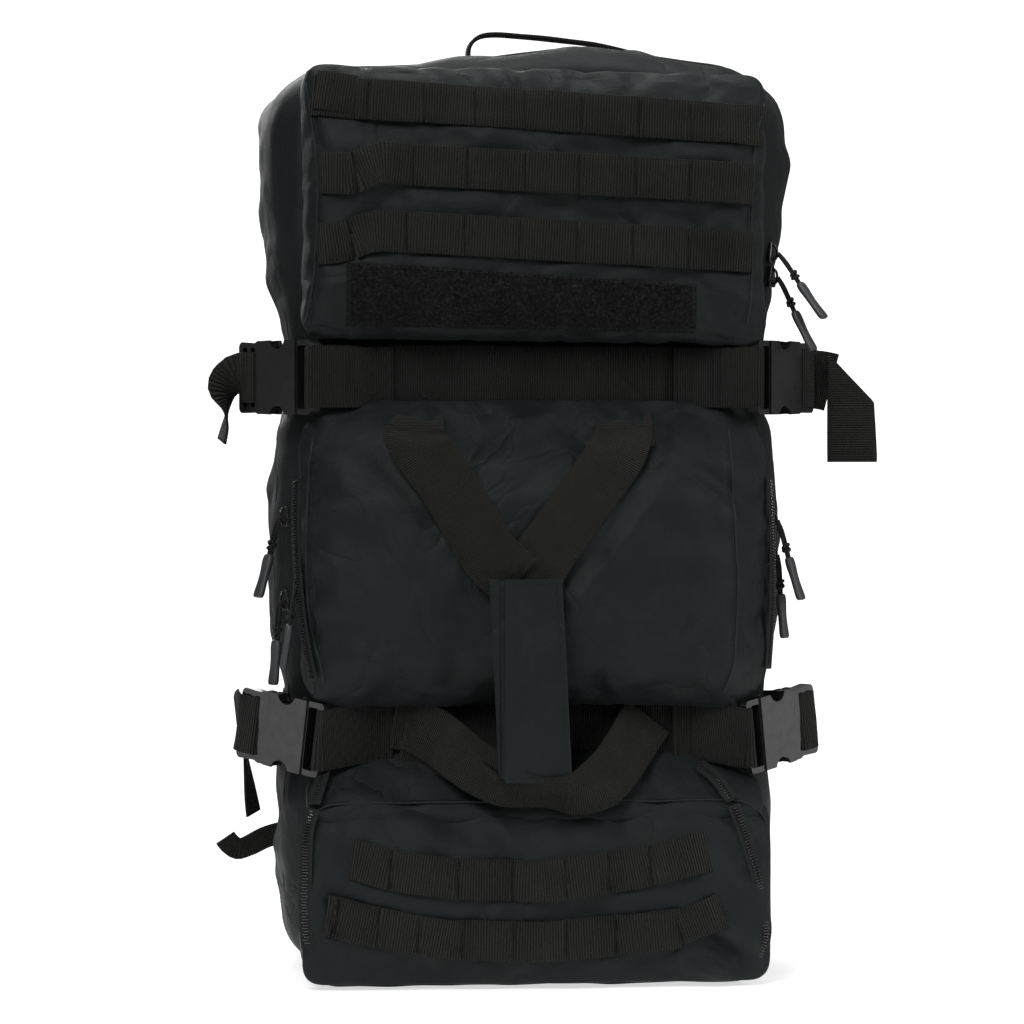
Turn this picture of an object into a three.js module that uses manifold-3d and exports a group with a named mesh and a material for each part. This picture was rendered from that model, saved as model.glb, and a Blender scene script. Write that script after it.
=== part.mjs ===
// A tall soft backpack in black nylon: a deep rear compartment closed by a padded lid, three front
// pockets, two webbing belts with side-release buckles, a Y-shaped carry handle with a wrapped grip,
// shoulder straps, and zips with corded pulls.
// Millimetres. +X is the viewer's right, +Y the wearer's side, +Z up. The origin is on the floor
// under the rear compartment.
import * as THREE from "three";
import { mergeVertices } from "three/addons/utils/BufferGeometryUtils.js";
import Module from "manifold-3d";

const wasm = await Module();
wasm.setup();

// ---------- driving dimensions ----------
const HEIGHT = 600; // rear compartment, floor to top
const HALF_WIDTH = 165;
const CORNER = 35; // radius of the corners seen from the front
const CLOTH = 3; // fabric with its lining and foam
const GAP = 0.3; // between touching pieces
const CHAMFER = 15; // how far the soft edges pull in, sideways
const CHAMFER_DEPTH = 20; // and along Y

const SHELL_FRONT = -35;
const SHELL_BACK = 105;
const LID_THICK = 16;
const LID_FRONT = SHELL_FRONT - GAP - LID_THICK;
const POCKET_BACK = LID_FRONT - GAP;

const FOLD_Z = 421.5; // the lid folds here, just above the upper belt
const UPPER_POCKET = { half: 155, z0: FOLD_Z + 0.5, z1: 594, front: -93, bevel: 6 };
const MIDDLE_POCKET = { half: 150, z0: 192, z1: 368, front: -96, bevel: 16 };
const LOWER_POCKET = { half: 150, z0: 4, z1: 120, front: -84, corner: 20 };

const BELT = { width: 40, thick: 2, upperZ: 396, lowerZ: 165 };
const PALS = { width: 25, thick: 2, pitch: 36, half: 140 }; // load webbing, sewn every pitch
const PALS_ROWS = { upper: [574, 530, 486], lower: [71, 28] }; // centre heights
const PATCH = { x0: -117, x1: 110, z0: 428, z1: 465, thick: 2 };

// A buckle's own frame: u runs from the belt end to the tail end, v across the webbing,
// w out of its face.
const BUCKLE = {
  half: 24.5, // half width, along v
  thick: 11,
  bar: 16, // length of the webbing loop end of the socket
  socket: 30, // length of the socket's body
  plug: 24, // length of the plug's base outside the socket
  slot: 20.4, // half length of each webbing slot
  wall: 1.8,
};
const BUCKLE_PLACES = {
  upper_right: { side: 1, x: 165.5, y: -42.5, z: BELT.upperZ, turn: 50, tilt: 0 },
  upper_left: { side: -1, x: 165.5, y: -42.5, z: BELT.upperZ, turn: 50, tilt: 0 },
  lower_right: { side: 1, x: 163, y: -47, z: BELT.lowerZ, turn: 42, tilt: 8 },
  lower_left: { side: -1, x: 163, y: -47, z: BELT.lowerZ, turn: 42, tilt: 8 },
};

const HANDLE = { width: 38, thick: 2.4, spread: 72, top: 374, joinZ: 268 };
const GRIP = { x0: -24, x1: 23, z0: 136, z1: 266, back: -99, front: -116, cloth: 2.5 };

// ---------- solids from geometry and back ----------
function solid(geometry) {
  const bare = geometry.index ? geometry.toNonIndexed() : geometry.clone();
  bare.deleteAttribute("normal");
  bare.deleteAttribute("uv");
  const merged = mergeVertices(bare, 1e-3);
  return new wasm.Manifold(
    new wasm.Mesh({
      numProp: 3,
      vertProperties: merged.attributes.position.array,
      triVerts: new Uint32Array(merged.index.array),
    }),
  );
}

function geometry(manifold) {
  const mesh = manifold.getMesh();
  const made = new THREE.BufferGeometry();
  made.setAttribute("position", new THREE.BufferAttribute(mesh.vertProperties, 3));
  made.setIndex(new THREE.BufferAttribute(mesh.triVerts, 1));
  made.computeVertexNormals();
  return made;
}

const cut = (base, ...tools) => geometry(tools.reduce((s, t) => s.subtract(solid(t)), solid(base)));
const join = (base, ...more) => geometry(more.reduce((s, t) => s.add(solid(t)), solid(base)));
const common = (base, tool) => geometry(solid(base).intersect(solid(tool)));

function box(x0, x1, y0, y1, z0, z1) {
  const made = new THREE.BoxGeometry(x1 - x0, y1 - y0, z1 - z0);
  return made.translate((x0 + x1) / 2, (y0 + y1) / 2, (z0 + z1) / 2);
}

// ---------- outlines and slabs, drawn from the front ----------
function outline(half, z0, z1, radius) {
  const shape = new THREE.Shape();
  const r = radius;
  shape.moveTo(-half + r, z0);
  shape.absarc(half - r, z0 + r, r, -Math.PI / 2, 0);
  shape.absarc(half - r, z1 - r, r, 0, Math.PI / 2);
  shape.absarc(-half + r, z1 - r, r, Math.PI / 2, Math.PI);
  shape.absarc(-half + r, z0 + r, r, Math.PI, 1.5 * Math.PI);
  return shape;
}

// A plate between two depths, with a flat outline.
function slab(shape, front, back) {
  const made = new THREE.ExtrudeGeometry(shape, {
    depth: back - front,
    bevelEnabled: false,
    curveSegments: 4,
  });
  return made.rotateX(Math.PI / 2).translate(0, back, 0);
}

// A block whose front and back edges are rounded off.
function softBlock(half, z0, z1, radius, front, back, size, depth, steps = 1) {
  const made = new THREE.ExtrudeGeometry(outline(half, z0, z1, radius), {
    depth: back - front - 2 * depth,
    bevelSize: size,
    bevelOffset: -size,
    bevelThickness: depth,
    bevelSegments: steps,
    curveSegments: 4,
  });
  return made.rotateX(Math.PI / 2).translate(0, back - depth, 0);
}

// A block with a rounded front edge and a flat back.
function cushion(half, z0, z1, radius, front, back, size, depth, steps = 1) {
  const whole = softBlock(half, z0, z1, radius, front, back + 2 * depth, size, depth, steps);
  return common(whole, box(-half - 1, half + 1, front - 1, back, z0 - 1, z1 + 1));
}

// ---------- webbing: a flat strip along a list of stations ----------
// A station is [x, y, z, side x, side y, side z]: a point and the direction of the strip's width.
function strip(stations, width, thick) {
  const points = stations.map((s) => new THREE.Vector3(s[0], s[1], s[2]));
  const sides = stations.map((s) => new THREE.Vector3(s[3], s[4], s[5]).normalize());
  const corners = [];
  points.forEach((p, i) => {
    const along = points[Math.min(i + 1, points.length - 1)].clone().sub(points[Math.max(i - 1, 0)]);
    const normal = along.normalize().cross(sides[i]).normalize();
    for (const [a, b] of [[-1, -1], [1, -1], [1, 1], [-1, 1]]) {
      const corner = p.clone().addScaledVector(sides[i], (a * width) / 2);
      corners.push(...corner.addScaledVector(normal, (b * thick) / 2).toArray());
    }
  });
  const faces = [];
  const quad = (a, b, c, d) => faces.push(a, b, c, a, c, d);
  for (let i = 0; i + 1 < points.length; i++)
    for (let k = 0; k < 4; k++) {
      const next = (k + 1) % 4;
      quad(4 * i + k, 4 * i + 4 + k, 4 * i + 4 + next, 4 * i + next);
    }
  const last = 4 * (points.length - 1);
  quad(0, 1, 2, 3);
  quad(last + 3, last + 2, last + 1, last);
  const made = new THREE.BufferGeometry();
  made.setAttribute("position", new THREE.Float32BufferAttribute(corners, 3));
  made.setIndex(faces);
  const flat = made.toNonIndexed();
  return solid(flat).volume() > 0 ? flat : geometry(solid(reversed(flat)));
}

function reversed(flat) {
  const made = mergeVertices(flat, 1e-4);
  const index = made.index.array;
  for (let i = 0; i < index.length; i += 3) [index[i + 1], index[i + 2]] = [index[i + 2], index[i + 1]];
  return made;
}

const mirrored = (stations) => stations.map(([x, y, z, a, b, c]) => [-x, y, z, a, -b, -c]);

// ---------- the scene graph ----------
const bag = new THREE.Group();
const material = (hex, roughness) =>
  new THREE.MeshStandardMaterial({ color: hex, roughness, metalness: 0 });
const NYLON = material(0x1c2022, 0.8);
const WEBBING = material(0x191917, 0.85);
const ACETAL = material(0x2a2a2c, 0.35);
const RUBBER = material(0x303133, 0.55);
const FOAM = material(0x16181a, 0.9);
const NAP = material(0x0e0f10, 1);
const SHEET = material(0x2e2f30, 0.5);

function add(name, shape, finish) {
  const mesh = new THREE.Mesh(shape, finish);
  mesh.name = name;
  bag.add(mesh);
  return mesh;
}

// ---------- rear compartment and lid ----------
function rearShell() {
  const outer = softBlock(
    HALF_WIDTH, 0, HEIGHT, CORNER, SHELL_FRONT, SHELL_BACK, CHAMFER, CHAMFER_DEPTH);
  const inner = softBlock(
    HALF_WIDTH - CLOTH, CLOTH, HEIGHT - CLOTH, CORNER - CLOTH,
    SHELL_FRONT + CLOTH, SHELL_BACK - CLOTH, CHAMFER, CHAMFER_DEPTH);
  const inset = CHAMFER + CLOTH;
  const mouth = outline(HALF_WIDTH - inset, inset, HEIGHT - inset, CORNER - CLOTH);
  return cut(outer, inner, slab(mouth, SHELL_FRONT - 5, SHELL_FRONT + CLOTH + 2));
}

function lid() {
  return cushion(
    HALF_WIDTH - CHAMFER, CHAMFER, HEIGHT - CHAMFER, CORNER,
    LID_FRONT, SHELL_FRONT - GAP, 14, 12);
}

add("rear_shell", rearShell(), NYLON);
const below = box(-200, 200, -200, 200, 0, FOLD_Z - 0.5);
const above = box(-200, 200, -200, 200, FOLD_Z + 0.5, HEIGHT + 10);
add("front_lid_lower", common(lid(), below), NYLON);
add("front_lid_upper", common(lid(), above), NYLON);

// One stiff sheet, bent to stand behind the wearer's pad and lie on the floor.
const FRAME_SHEET = { half: 120, top: 550, front: -8, thick: 2 };
const sheetBack = SHELL_BACK - CLOTH - 6;
const sheetFloor = CLOTH + GAP;
function frameSheet() {
  const { half, top, front, thick } = FRAME_SHEET;
  const upright = box(-half, half, sheetBack - thick, sheetBack, sheetFloor + 20, top);
  const bend = strip(
    [
      [0, sheetBack - thick / 2, sheetFloor + 20, 1, 0, 0],
      [0, sheetBack - 6, sheetFloor + 8, 1, 0, 0],
      [0, sheetBack - 20, sheetFloor + thick / 2, 1, 0, 0],
      [0, front, sheetFloor + thick / 2, 1, 0, 0],
    ],
    2 * half, thick,
  );
  return join(upright, bend);
}
add("frame_sheet", frameSheet(), SHEET);
const BACK_PAD = { half: 125, z0: 50, z1: 560, thick: 14 };
const padFront = SHELL_BACK + GAP;
const padBack = padFront + BACK_PAD.thick;
function backPad() {
  const whole = softBlock(
    BACK_PAD.half, BACK_PAD.z0, BACK_PAD.z1, 30, padFront - 16, padBack, 8, 8);
  return common(whole, box(-200, 200, padFront, padBack + 1, 0, HEIGHT));
}
add("back_pad", backPad(), FOAM);

// ---------- front pockets ----------
const P = UPPER_POCKET;
add("upper_pocket", cushion(P.half, P.z0, P.z1, 24, P.front, POCKET_BACK, P.bevel, P.bevel, 2), NYLON);
const M = MIDDLE_POCKET;
add("middle_pocket", cushion(M.half, M.z0, M.z1, 24, M.front, POCKET_BACK, M.bevel, M.bevel, 2), NYLON);

const L = LOWER_POCKET;
function lowerTray() {
  const outer = slab(outline(L.half, L.z0, L.z1, L.corner), L.front, POCKET_BACK);
  const inner = slab(
    outline(L.half - CLOTH, L.z0 + CLOTH, L.z1 - CLOTH, L.corner - CLOTH),
    L.front - 5, POCKET_BACK - CLOTH);
  return cut(outer, inner);
}
add("lower_pocket_tray", lowerTray(), NYLON);
const panelFront = L.front - GAP - CLOTH;
add(
  "lower_pocket_panel",
  slab(outline(L.half, L.z0, L.z1, L.corner), panelFront, L.front - GAP),
  NYLON,
);

// ---------- load webbing rows and the loop patch ----------
// Each row touches the pocket at its sewn lines and stands off a little between them.
function palsRow(z, face) {
  const stations = [];
  const cells = Math.floor((2 * PALS.half) / PALS.pitch);
  const start = (-cells * PALS.pitch) / 2;
  for (let i = 0; i <= cells; i++) {
    const x = start + i * PALS.pitch;
    stations.push([x, face - GAP - PALS.thick / 2, z, 0, 0, 1]);
    if (i < cells) stations.push([x + PALS.pitch / 2, face - GAP - PALS.thick / 2 - 0.6, z, 0, 0, 1]);
  }
  return strip(stations, PALS.width, PALS.thick);
}
PALS_ROWS.upper.forEach((z, i) => add(`upper_webbing_row_${i + 1}`, palsRow(z, P.front), WEBBING));
PALS_ROWS.lower.forEach((z, i) => add(`lower_webbing_row_${i + 1}`, palsRow(z, panelFront), WEBBING));
add(
  "loop_patch",
  box(PATCH.x0, PATCH.x1, P.front - GAP - PATCH.thick, P.front - GAP, PATCH.z0, PATCH.z1),
  NAP,
);

// ---------- main zip, on the soft edge between shell and lid ----------
const ZIP = { width: 12, thick: 1.6, endZ: 115 };
const edgeMiddle = HALF_WIDTH - CHAMFER / 2;
const edgeY = SHELL_FRONT + CHAMFER_DEPTH / 2;
const edgeLength = Math.hypot(CHAMFER, CHAMFER_DEPTH);
const edgeOut = CHAMFER_DEPTH / edgeLength; // outward part of the edge's normal
const edgeFore = CHAMFER / edgeLength; // forward part
const zipOff = 0.8 + ZIP.thick / 2;

function mainZip() {
  const rise = edgeMiddle + zipOff * edgeOut;
  const y = edgeY - zipOff * edgeFore;
  const top = HEIGHT - CHAMFER / 2 + zipOff * edgeOut;
  const bend = CORNER - CHAMFER / 2 + zipOff * edgeOut;
  const right = [];
  for (const z of [ZIP.endZ, 250, 400, top - bend])
    right.push([rise, y, z, edgeFore, edgeOut, 0]);
  for (let k = 1; k <= 4; k++) {
    const a = (k / 4) * (Math.PI / 2);
    right.push([
      rise - bend + bend * Math.cos(a), y, top - bend + bend * Math.sin(a),
      edgeFore * Math.cos(a), edgeOut, edgeFore * Math.sin(a),
    ]);
  }
  const left = right.map(([x, y2, z, a, b, c]) => [-x, y2, z, -a, b, c]).reverse();
  return strip([...right, ...left], ZIP.width, ZIP.thick);
}
add("main_zip", mainZip(), ACETAL);

// ---------- side-release buckles ----------
const middleU = (BUCKLE.socket + BUCKLE.plug - BUCKLE.bar) / 2;

// The direction of the webbing's width where it meets a buckle.
function widthAt({ side, turn, tilt }) {
  const a = THREE.MathUtils.degToRad(turn);
  const t = THREE.MathUtils.degToRad(tilt);
  return [-side * Math.cos(a) * Math.sin(t), -Math.sin(a) * Math.sin(t), Math.cos(t)];
}

// The turn that carries a buckle's u, v, w onto the bag.
function buckleFrame({ side, x, y, z, turn, tilt }) {
  const a = THREE.MathUtils.degToRad(turn);
  const t = THREE.MathUtils.degToRad(tilt);
  const u = new THREE.Vector3(side * Math.cos(a) * Math.cos(t), Math.sin(a) * Math.cos(t), Math.sin(t));
  const w = new THREE.Vector3(side * Math.sin(a), -Math.cos(a), 0);
  const v = w.clone().cross(u);
  const frame = new THREE.Matrix4().makeBasis(u, v, w);
  return frame.setPosition(new THREE.Vector3(side * x, y, z).addScaledVector(u, -middleU));
}

// A plate in u and v with rounded corners, centred in w.
function plate(u0, u1, half, thick, radius) {
  const shape = new THREE.Shape();
  const r = radius;
  shape.moveTo(u0 + r, -half);
  shape.absarc(u1 - r, -half + r, r, -Math.PI / 2, 0);
  shape.absarc(u1 - r, half - r, r, 0, Math.PI / 2);
  shape.absarc(u0 + r, half - r, r, Math.PI / 2, Math.PI);
  shape.absarc(u0 + r, -half + r, r, Math.PI, 1.5 * Math.PI);
  const edge = Math.min(1, r / 2);
  const made = new THREE.ExtrudeGeometry(shape, {
    depth: thick - 2 * edge,
    bevelSize: edge,
    bevelOffset: -edge,
    bevelThickness: edge,
    bevelSegments: 1,
    curveSegments: 3,
  });
  return made.translate(0, 0, edge - thick / 2);
}

const slotAt = (u0, u1) => box(u0, u1, -BUCKLE.slot, BUCKLE.slot, -20, 20);
const INNER = { half: 20.8, thick: BUCKLE.thick - 2 * BUCKLE.wall }; // the socket's cavity
const ARM = { out: 18.8, in: 15.4, tip: 7, thick: 5 };

function socket() {
  const body = plate(-BUCKLE.bar, BUCKLE.socket, BUCKLE.half, BUCKLE.thick, 3);
  const cavity = box(3, BUCKLE.socket + 5, -INNER.half, INNER.half, -INNER.thick / 2, INNER.thick / 2);
  const window = (v) => {
    const round = new THREE.CylinderGeometry(8, 8, 40, 16);
    return round.rotateX(Math.PI / 2).translate(15, v, 0);
  };
  return cut(body, cavity, slotAt(-BUCKLE.bar + 4.5, -3), window(BUCKLE.half + 1), window(-BUCKLE.half - 1));
}

function plug() {
  const base = plate(
    BUCKLE.socket + GAP, BUCKLE.socket + BUCKLE.plug, BUCKLE.half, BUCKLE.thick - 1.5, 3);
  const guide = box(7, BUCKLE.socket + 2, -6, 6, -2.5, 2.5);
  const first = BUCKLE.socket + 7;
  return cut(join(base, guide), slotAt(first, first + 4), slotAt(first + 8, first + 12.5));
}

// A springy release arm. It reaches into the socket beside the guide and shows at the window.
function arm(sign) {
  const shape = new THREE.Shape();
  const root = BUCKLE.socket - 0.2;
  shape.moveTo(root, ARM.in);
  shape.lineTo(root, ARM.out);
  shape.lineTo(24, ARM.out);
  shape.lineTo(22, ARM.out);
  shape.lineTo(9, ARM.out);
  shape.lineTo(ARM.tip, ARM.in + 1);
  shape.lineTo(ARM.tip, ARM.in - 1.5);
  shape.lineTo(12, ARM.in - 1.5);
  shape.lineTo(19, ARM.in);
  const made = new THREE.ExtrudeGeometry(shape, { depth: ARM.thick, bevelEnabled: false });
  made.translate(0, 0, -ARM.thick / 2);
  return sign > 0 ? made : made.rotateX(Math.PI);
}

for (const [place, at] of Object.entries(BUCKLE_PLACES)) {
  const frame = buckleFrame(at);
  add(`${place}_socket`, socket().applyMatrix4(frame), ACETAL);
  add(`${place}_plug`, plug().applyMatrix4(frame), ACETAL);
  add(`${place}_arm_top`, arm(at.side).applyMatrix4(frame), ACETAL);
  add(`${place}_arm_bottom`, arm(-at.side).applyMatrix4(frame), ACETAL);
}

// ---------- belts across the front ----------
// Where the belt enters the socket's slot, seen from the bag's middle line.
function beltEnd(at) {
  const frame = buckleFrame(at);
  return new THREE.Vector3(-BUCKLE.bar - 2, 0, 0).applyMatrix4(frame);
}

function frontBelt(right) {
  const end = beltEnd(right);
  const side = widthAt(right);
  const y = LID_FRONT - GAP - BELT.thick / 2;
  const half = [
    [0, y, right.z, 0, 0, 1],
    [90, y, right.z, 0, 0, 1],
    [112, y - 1.5, right.z - 0.5, 0, 0, 1],
    [125, (y + end.y) / 2 - 2.5, (right.z + end.z) / 2 - 1, ...side],
    [end.x, end.y, end.z, ...side],
  ];
  const other = half.slice(1).map(([x, y2, z, a, b, c]) => [-x, y2, z, -a, b, c]).reverse();
  return strip([...other, ...half], BELT.width, BELT.thick);
}
add("upper_front_belt", frontBelt(BUCKLE_PLACES.upper_right), WEBBING);
add("lower_front_belt", frontBelt(BUCKLE_PLACES.lower_right), WEBBING);

// ---------- side straps, from the plug to the rear seam, with their free tails ----------
const tailStart = (at) =>
  new THREE.Vector3(BUCKLE.socket + BUCKLE.plug + 3, 0, 0).applyMatrix4(buckleFrame(at));
const SIDE = HALF_WIDTH + GAP + BELT.thick / 2 + 1.6;
const SEAM_Y = 78;

function sideRun(at) {
  const s = tailStart(at);
  const x = s.x * at.side;
  const [a0, b0, c0] = widthAt(at);
  return [
    [x, s.y, s.z, a0, b0, c0],
    [x - 1.5, s.y + 8, at.z, 0, 0, 1],
    [(x + SIDE) / 2 - 2, (s.y + 30) / 2 + 6, at.z, 0, 0, 1],
    [SIDE + 0.4, 44, at.z, 0, 0, 1],
    [SIDE, SEAM_Y, at.z, 0, 0, 1],
  ].map(([px, py, pz, a, b, c]) => [px * at.side, py, pz, a, b, c]);
}

// The right upper tail stands out sideways, then folds over and hangs.
function foldedTail(at) {
  const s = tailStart(at);
  const out = strip(
    [
      [s.x - 0.6, s.y + 0.5, s.z, 0, 0, 1],
      [s.x + 6, s.y + 1, s.z, 0, 0, 1],
      [203, s.y - 2, s.z - 1, 0, 0, 1],
    ],
    BELT.width, BELT.thick,
  );
  const shape = new THREE.Shape();
  const left = 199;
  const rightEdge = 234;
  shape.moveTo(left, 340);
  shape.lineTo(rightEdge, 341);
  shape.lineTo(rightEdge, 386);
  shape.lineTo(229, 392);
  shape.lineTo(left + 1, s.z + 19);
  const hanging = slab(shape, s.y - 3.2, s.y - 0.8);
  return [out, hanging];
}

function hangingTail(at, stations) {
  const s = tailStart(at);
  return [
    strip(
      [[s.x, s.y + 0.5, s.z, ...widthAt(at)], ...stations.map(([dx, dy, z, a, b, c]) => [
        s.x + dx * at.side, s.y + dy, z, a * at.side, b, c])],
      BELT.width, BELT.thick,
    ),
  ];
}

// The left lower tail is tucked behind its plug and hangs edge on.
function droopingTail(at) {
  const s = tailStart(at);
  const x = s.x * at.side;
  return [
    strip(
      [[x - 5, s.y + 22, 176], [x - 2, s.y + 24, 152], [x - 4, s.y + 26, 128], [x - 7, s.y + 27, 106]].map(
        ([px, py, pz]) => [px * at.side, py, pz, 0, 1, 0]),
      BELT.width, BELT.thick,
    ),
  ];
}

const TAILS = {
  upper_right: foldedTail,
  upper_left: (at) =>
    hangingTail(at, [[5, -1, at.z - 1, 0.1, 0, 1], [11, 0, 391, 0.5, -0.3, 0.9], [14, 4, 378, 0.2, -0.9, 0.5],
      [14, 8, 366, 0, -1, 0.1], [12.5, 9, 354, 0, -1, 0]]),
  lower_right: (at) => hangingTail(at, [[4, 4, at.z + 2, 0.1, 0, 1], [5, 12, at.z - 2, 0.1, 0.1, 1]]),
  lower_left: droopingTail,
};
for (const [place, at] of Object.entries(BUCKLE_PLACES)) {
  const run = strip(sideRun(at), BELT.width, BELT.thick);
  add(`${place}_side_strap`, join(run, ...TAILS[place](at)), WEBBING);
}

// ---------- Y handle with its wrapped grip, and the lower handle loop ----------
const handleY = MIDDLE_POCKET.front - 3;
function upperHandle() {
  const leg = [
    [HANDLE.spread, LID_FRONT - 4, HANDLE.top + 1, 1, 0, 0],
    [HANDLE.spread, MIDDLE_POCKET.front + 12, HANDLE.top - 1, 1, 0, 0],
    [HANDLE.spread - 1, handleY + 1, HANDLE.top - 13, 1, 0, 0.1],
    [HANDLE.spread - 6, handleY - 0.5, HANDLE.top - 27, 0.95, 0, -0.3],
    [HANDLE.spread - 15, handleY - 1, HANDLE.top - 42, 0.81, 0, -0.59],
    [20, handleY - 4, HANDLE.joinZ + 22, 0.81, 0, -0.59],
    [4, (GRIP.back + GRIP.front) / 2, HANDLE.joinZ, 0.95, 0, -0.3],
  ];
  const core = box(
    GRIP.x0 + 5, GRIP.x1 - 5, (GRIP.back + GRIP.front) / 2 - 2.5, (GRIP.back + GRIP.front) / 2 + 2.5,
    GRIP.z0 + 6, HANDLE.joinZ + 6);
  const right = strip(leg, HANDLE.width, HANDLE.thick);
  const left = strip(mirrored(leg), HANDLE.width, HANDLE.thick);
  const made = join(right, left, core);
  // The legs end where the grip begins.
  const clear = box(-60, 60, -140, handleY + 0.8, GRIP.z0 - 10, GRIP.z1 + GAP);
  const inside = common(made, box(GRIP.x0 + 4, GRIP.x1 - 4, -140, -60, GRIP.z0 + 5, GRIP.z1 + 1));
  return join(cut(made, clear), common(inside, core));
}
add("upper_handle", upperHandle(), WEBBING);

const G = GRIP;
function gripSleeve() {
  const whole = box(G.x0, G.x1, G.front, G.back, G.z0, G.z1);
  const channel = box(
    G.x0 + G.cloth, G.x1 - G.cloth, G.front - 1, G.back - G.cloth, G.z0 - 1, G.z1 + 1);
  return cut(whole, channel);
}
add("grip_sleeve", gripSleeve(), NYLON);
add("grip_flap", box(G.x0, G.x1, G.front - GAP - G.cloth, G.front - GAP, G.z0, G.z1), NYLON);

function lowerHandle() {
  const bottom = GRIP.z0 - GAP - 1.4;
  const leg = [
    [76, LID_FRONT - BELT.thick - 3.4, BELT.lowerZ + 1, 0.5, 0, 0.85],
    [64, LID_FRONT - 14, BELT.lowerZ, 0.5, 0, 0.85],
    [46, LID_FRONT - 36, BELT.lowerZ - 12, 0.4, 0.1, 0.8],
    [30, LID_FRONT - 50, BELT.lowerZ - 38, 0.1, 0.85, 0.3],
    [8, LID_FRONT - 54, bottom, 0, 1, 0.05],
  ];
  const other = leg.map(([x, y, z, a, b, c]) => [-x, y, z, -a, b, c]);
  return strip([...other, ...leg.reverse()], 27, HANDLE.thick);
}
add("lower_handle", lowerHandle(), WEBBING);

// ---------- haul handle on the rear top edge ----------
const HAUL = { x0: -33, x1: 60, y: 86, foot: 603, top: 618, width: 25, thick: 3 };
function haulHandle() {
  const stations = [];
  const middle = (HAUL.x0 + HAUL.x1) / 2;
  const half = (HAUL.x1 - HAUL.x0) / 2;
  for (let k = 0; k <= 12; k++) {
    const a = Math.PI * (1 - k / 12);
    const c = Math.cos(a);
    const flat = Math.sign(c) * Math.abs(c) ** 0.55;
    const height = Math.sin(a) ** 0.7;
    stations.push([middle + half * flat, HAUL.y, HAUL.foot + (HAUL.top - HAUL.foot) * height, 0, 1, 0]);
  }
  return strip(stations, HAUL.width, HAUL.thick);
}
add("haul_handle", haulHandle(), WEBBING);

// ---------- shoulder straps and their lower webbing ----------
const SHOULDER = { x: 62, top: 545, width: 64, thick: 13, y: padBack + 1 };
function shoulderPad() {
  const y = SHOULDER.y + SHOULDER.thick / 2;
  const stations = [
    [SHOULDER.x, y, SHOULDER.top, 1, 0, 0],
    [SHOULDER.x - 4, y + 5, 500, 1, 0, 0],
    [SHOULDER.x - 6, y + 9, 440, 1, 0, 0.05],
    [SHOULDER.x, y + 8, 370, 0.98, 0, 0.15],
    [SHOULDER.x + 14, y + 5, 300, 0.96, 0, 0.22],
    [SHOULDER.x + 32, y + 1, 235, 0.95, 0, 0.28],
  ];
  return stations;
}
add("shoulder_pad_right", strip(shoulderPad(), SHOULDER.width, SHOULDER.thick), FOAM);
add("shoulder_pad_left", strip(mirrored(shoulderPad()), SHOULDER.width, SHOULDER.thick), FOAM);

function lowerStrap(tail) {
  const y = SHOULDER.y + 8;
  const run = strip(
    [
      [98, y, 226, 0.93, 0, 0.37],
      [112, y - 2, 180, 0.93, 0, 0.37],
      [134, y - 8, 125, 0.9, 0.1, 0.4],
      [146, SHELL_BACK + 3, 88, 0.7, 0, 0.7],
      [150, SHELL_BACK + 2, 76, 0.7, 0, 0.7],
    ],
    25, 2,
  );
  if (!tail) return run;
  const free = strip(
    [
      [148, SHELL_BACK + 3.5, 84, 0.1, 0.2, 1],
      [170, SHELL_BACK + 3, 80, 0.1, 0.1, 1],
      [186, SHELL_BACK - 2, 72, 0.3, 0, 1],
      [196, SHELL_BACK - 6, 80, 0.5, 0, 0.9],
    ],
    16, 2,
  );
  return join(run, free);
}
const half = new THREE.Matrix4().makeScale(-1, 1, 1);
add("lower_strap_right", lowerStrap(false), WEBBING);
add("lower_strap_left", geometry(solid(reversed(lowerStrap(true).toNonIndexed().applyMatrix4(half)))), WEBBING);

// ---------- zip sliders and corded pulls ----------
const SLIDER = { long: 14, wide: 9, high: 6 };
const PULL = { cord: 26, cordThick: 3, tab: 30, tabWide: 9.5, tabThick: 4 };
const off = zipOff + ZIP.thick / 2 + GAP + 0.3;

// A point on the zip's line, so far out from the soft edge.
function onZip(side, z, out) {
  return new THREE.Vector3(
    side * (edgeMiddle + out * edgeOut), edgeY - out * edgeFore, z);
}

function faceFrame(side) {
  const w = new THREE.Vector3(side * edgeOut, -edgeFore, 0);
  const v = new THREE.Vector3(0, 0, 1);
  return new THREE.Matrix4().makeBasis(v.clone().cross(w), v, w);
}

function sliderSolid() {
  const body = box(-SLIDER.wide / 2, SLIDER.wide / 2, -SLIDER.long / 2, SLIDER.long / 2, 0, SLIDER.high - 2.5);
  const bridge = box(-1.6, 1.6, -SLIDER.long / 2 + 2, SLIDER.long / 2 - 2, SLIDER.high - 3, SLIDER.high);
  return join(body, bridge);
}

// Hangs from its own origin: a doubled cord, then a moulded tab, bent away by lean.
function pullSolid(lean) {
  const cord = new THREE.BoxGeometry(PULL.cordThick, PULL.cord + 2, PULL.cordThick);
  cord.translate(0, -PULL.cord / 2 - 1, PULL.cordThick / 2);
  const tab = new THREE.BoxGeometry(PULL.tabWide, PULL.tab, PULL.tabThick, 1, 2, 1);
  tab.translate(0, -PULL.cord - PULL.tab / 2, PULL.tabThick / 2);
  return join(cord, tab).applyMatrix4(new THREE.Matrix4().makeRotationX(-lean));
}

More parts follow.
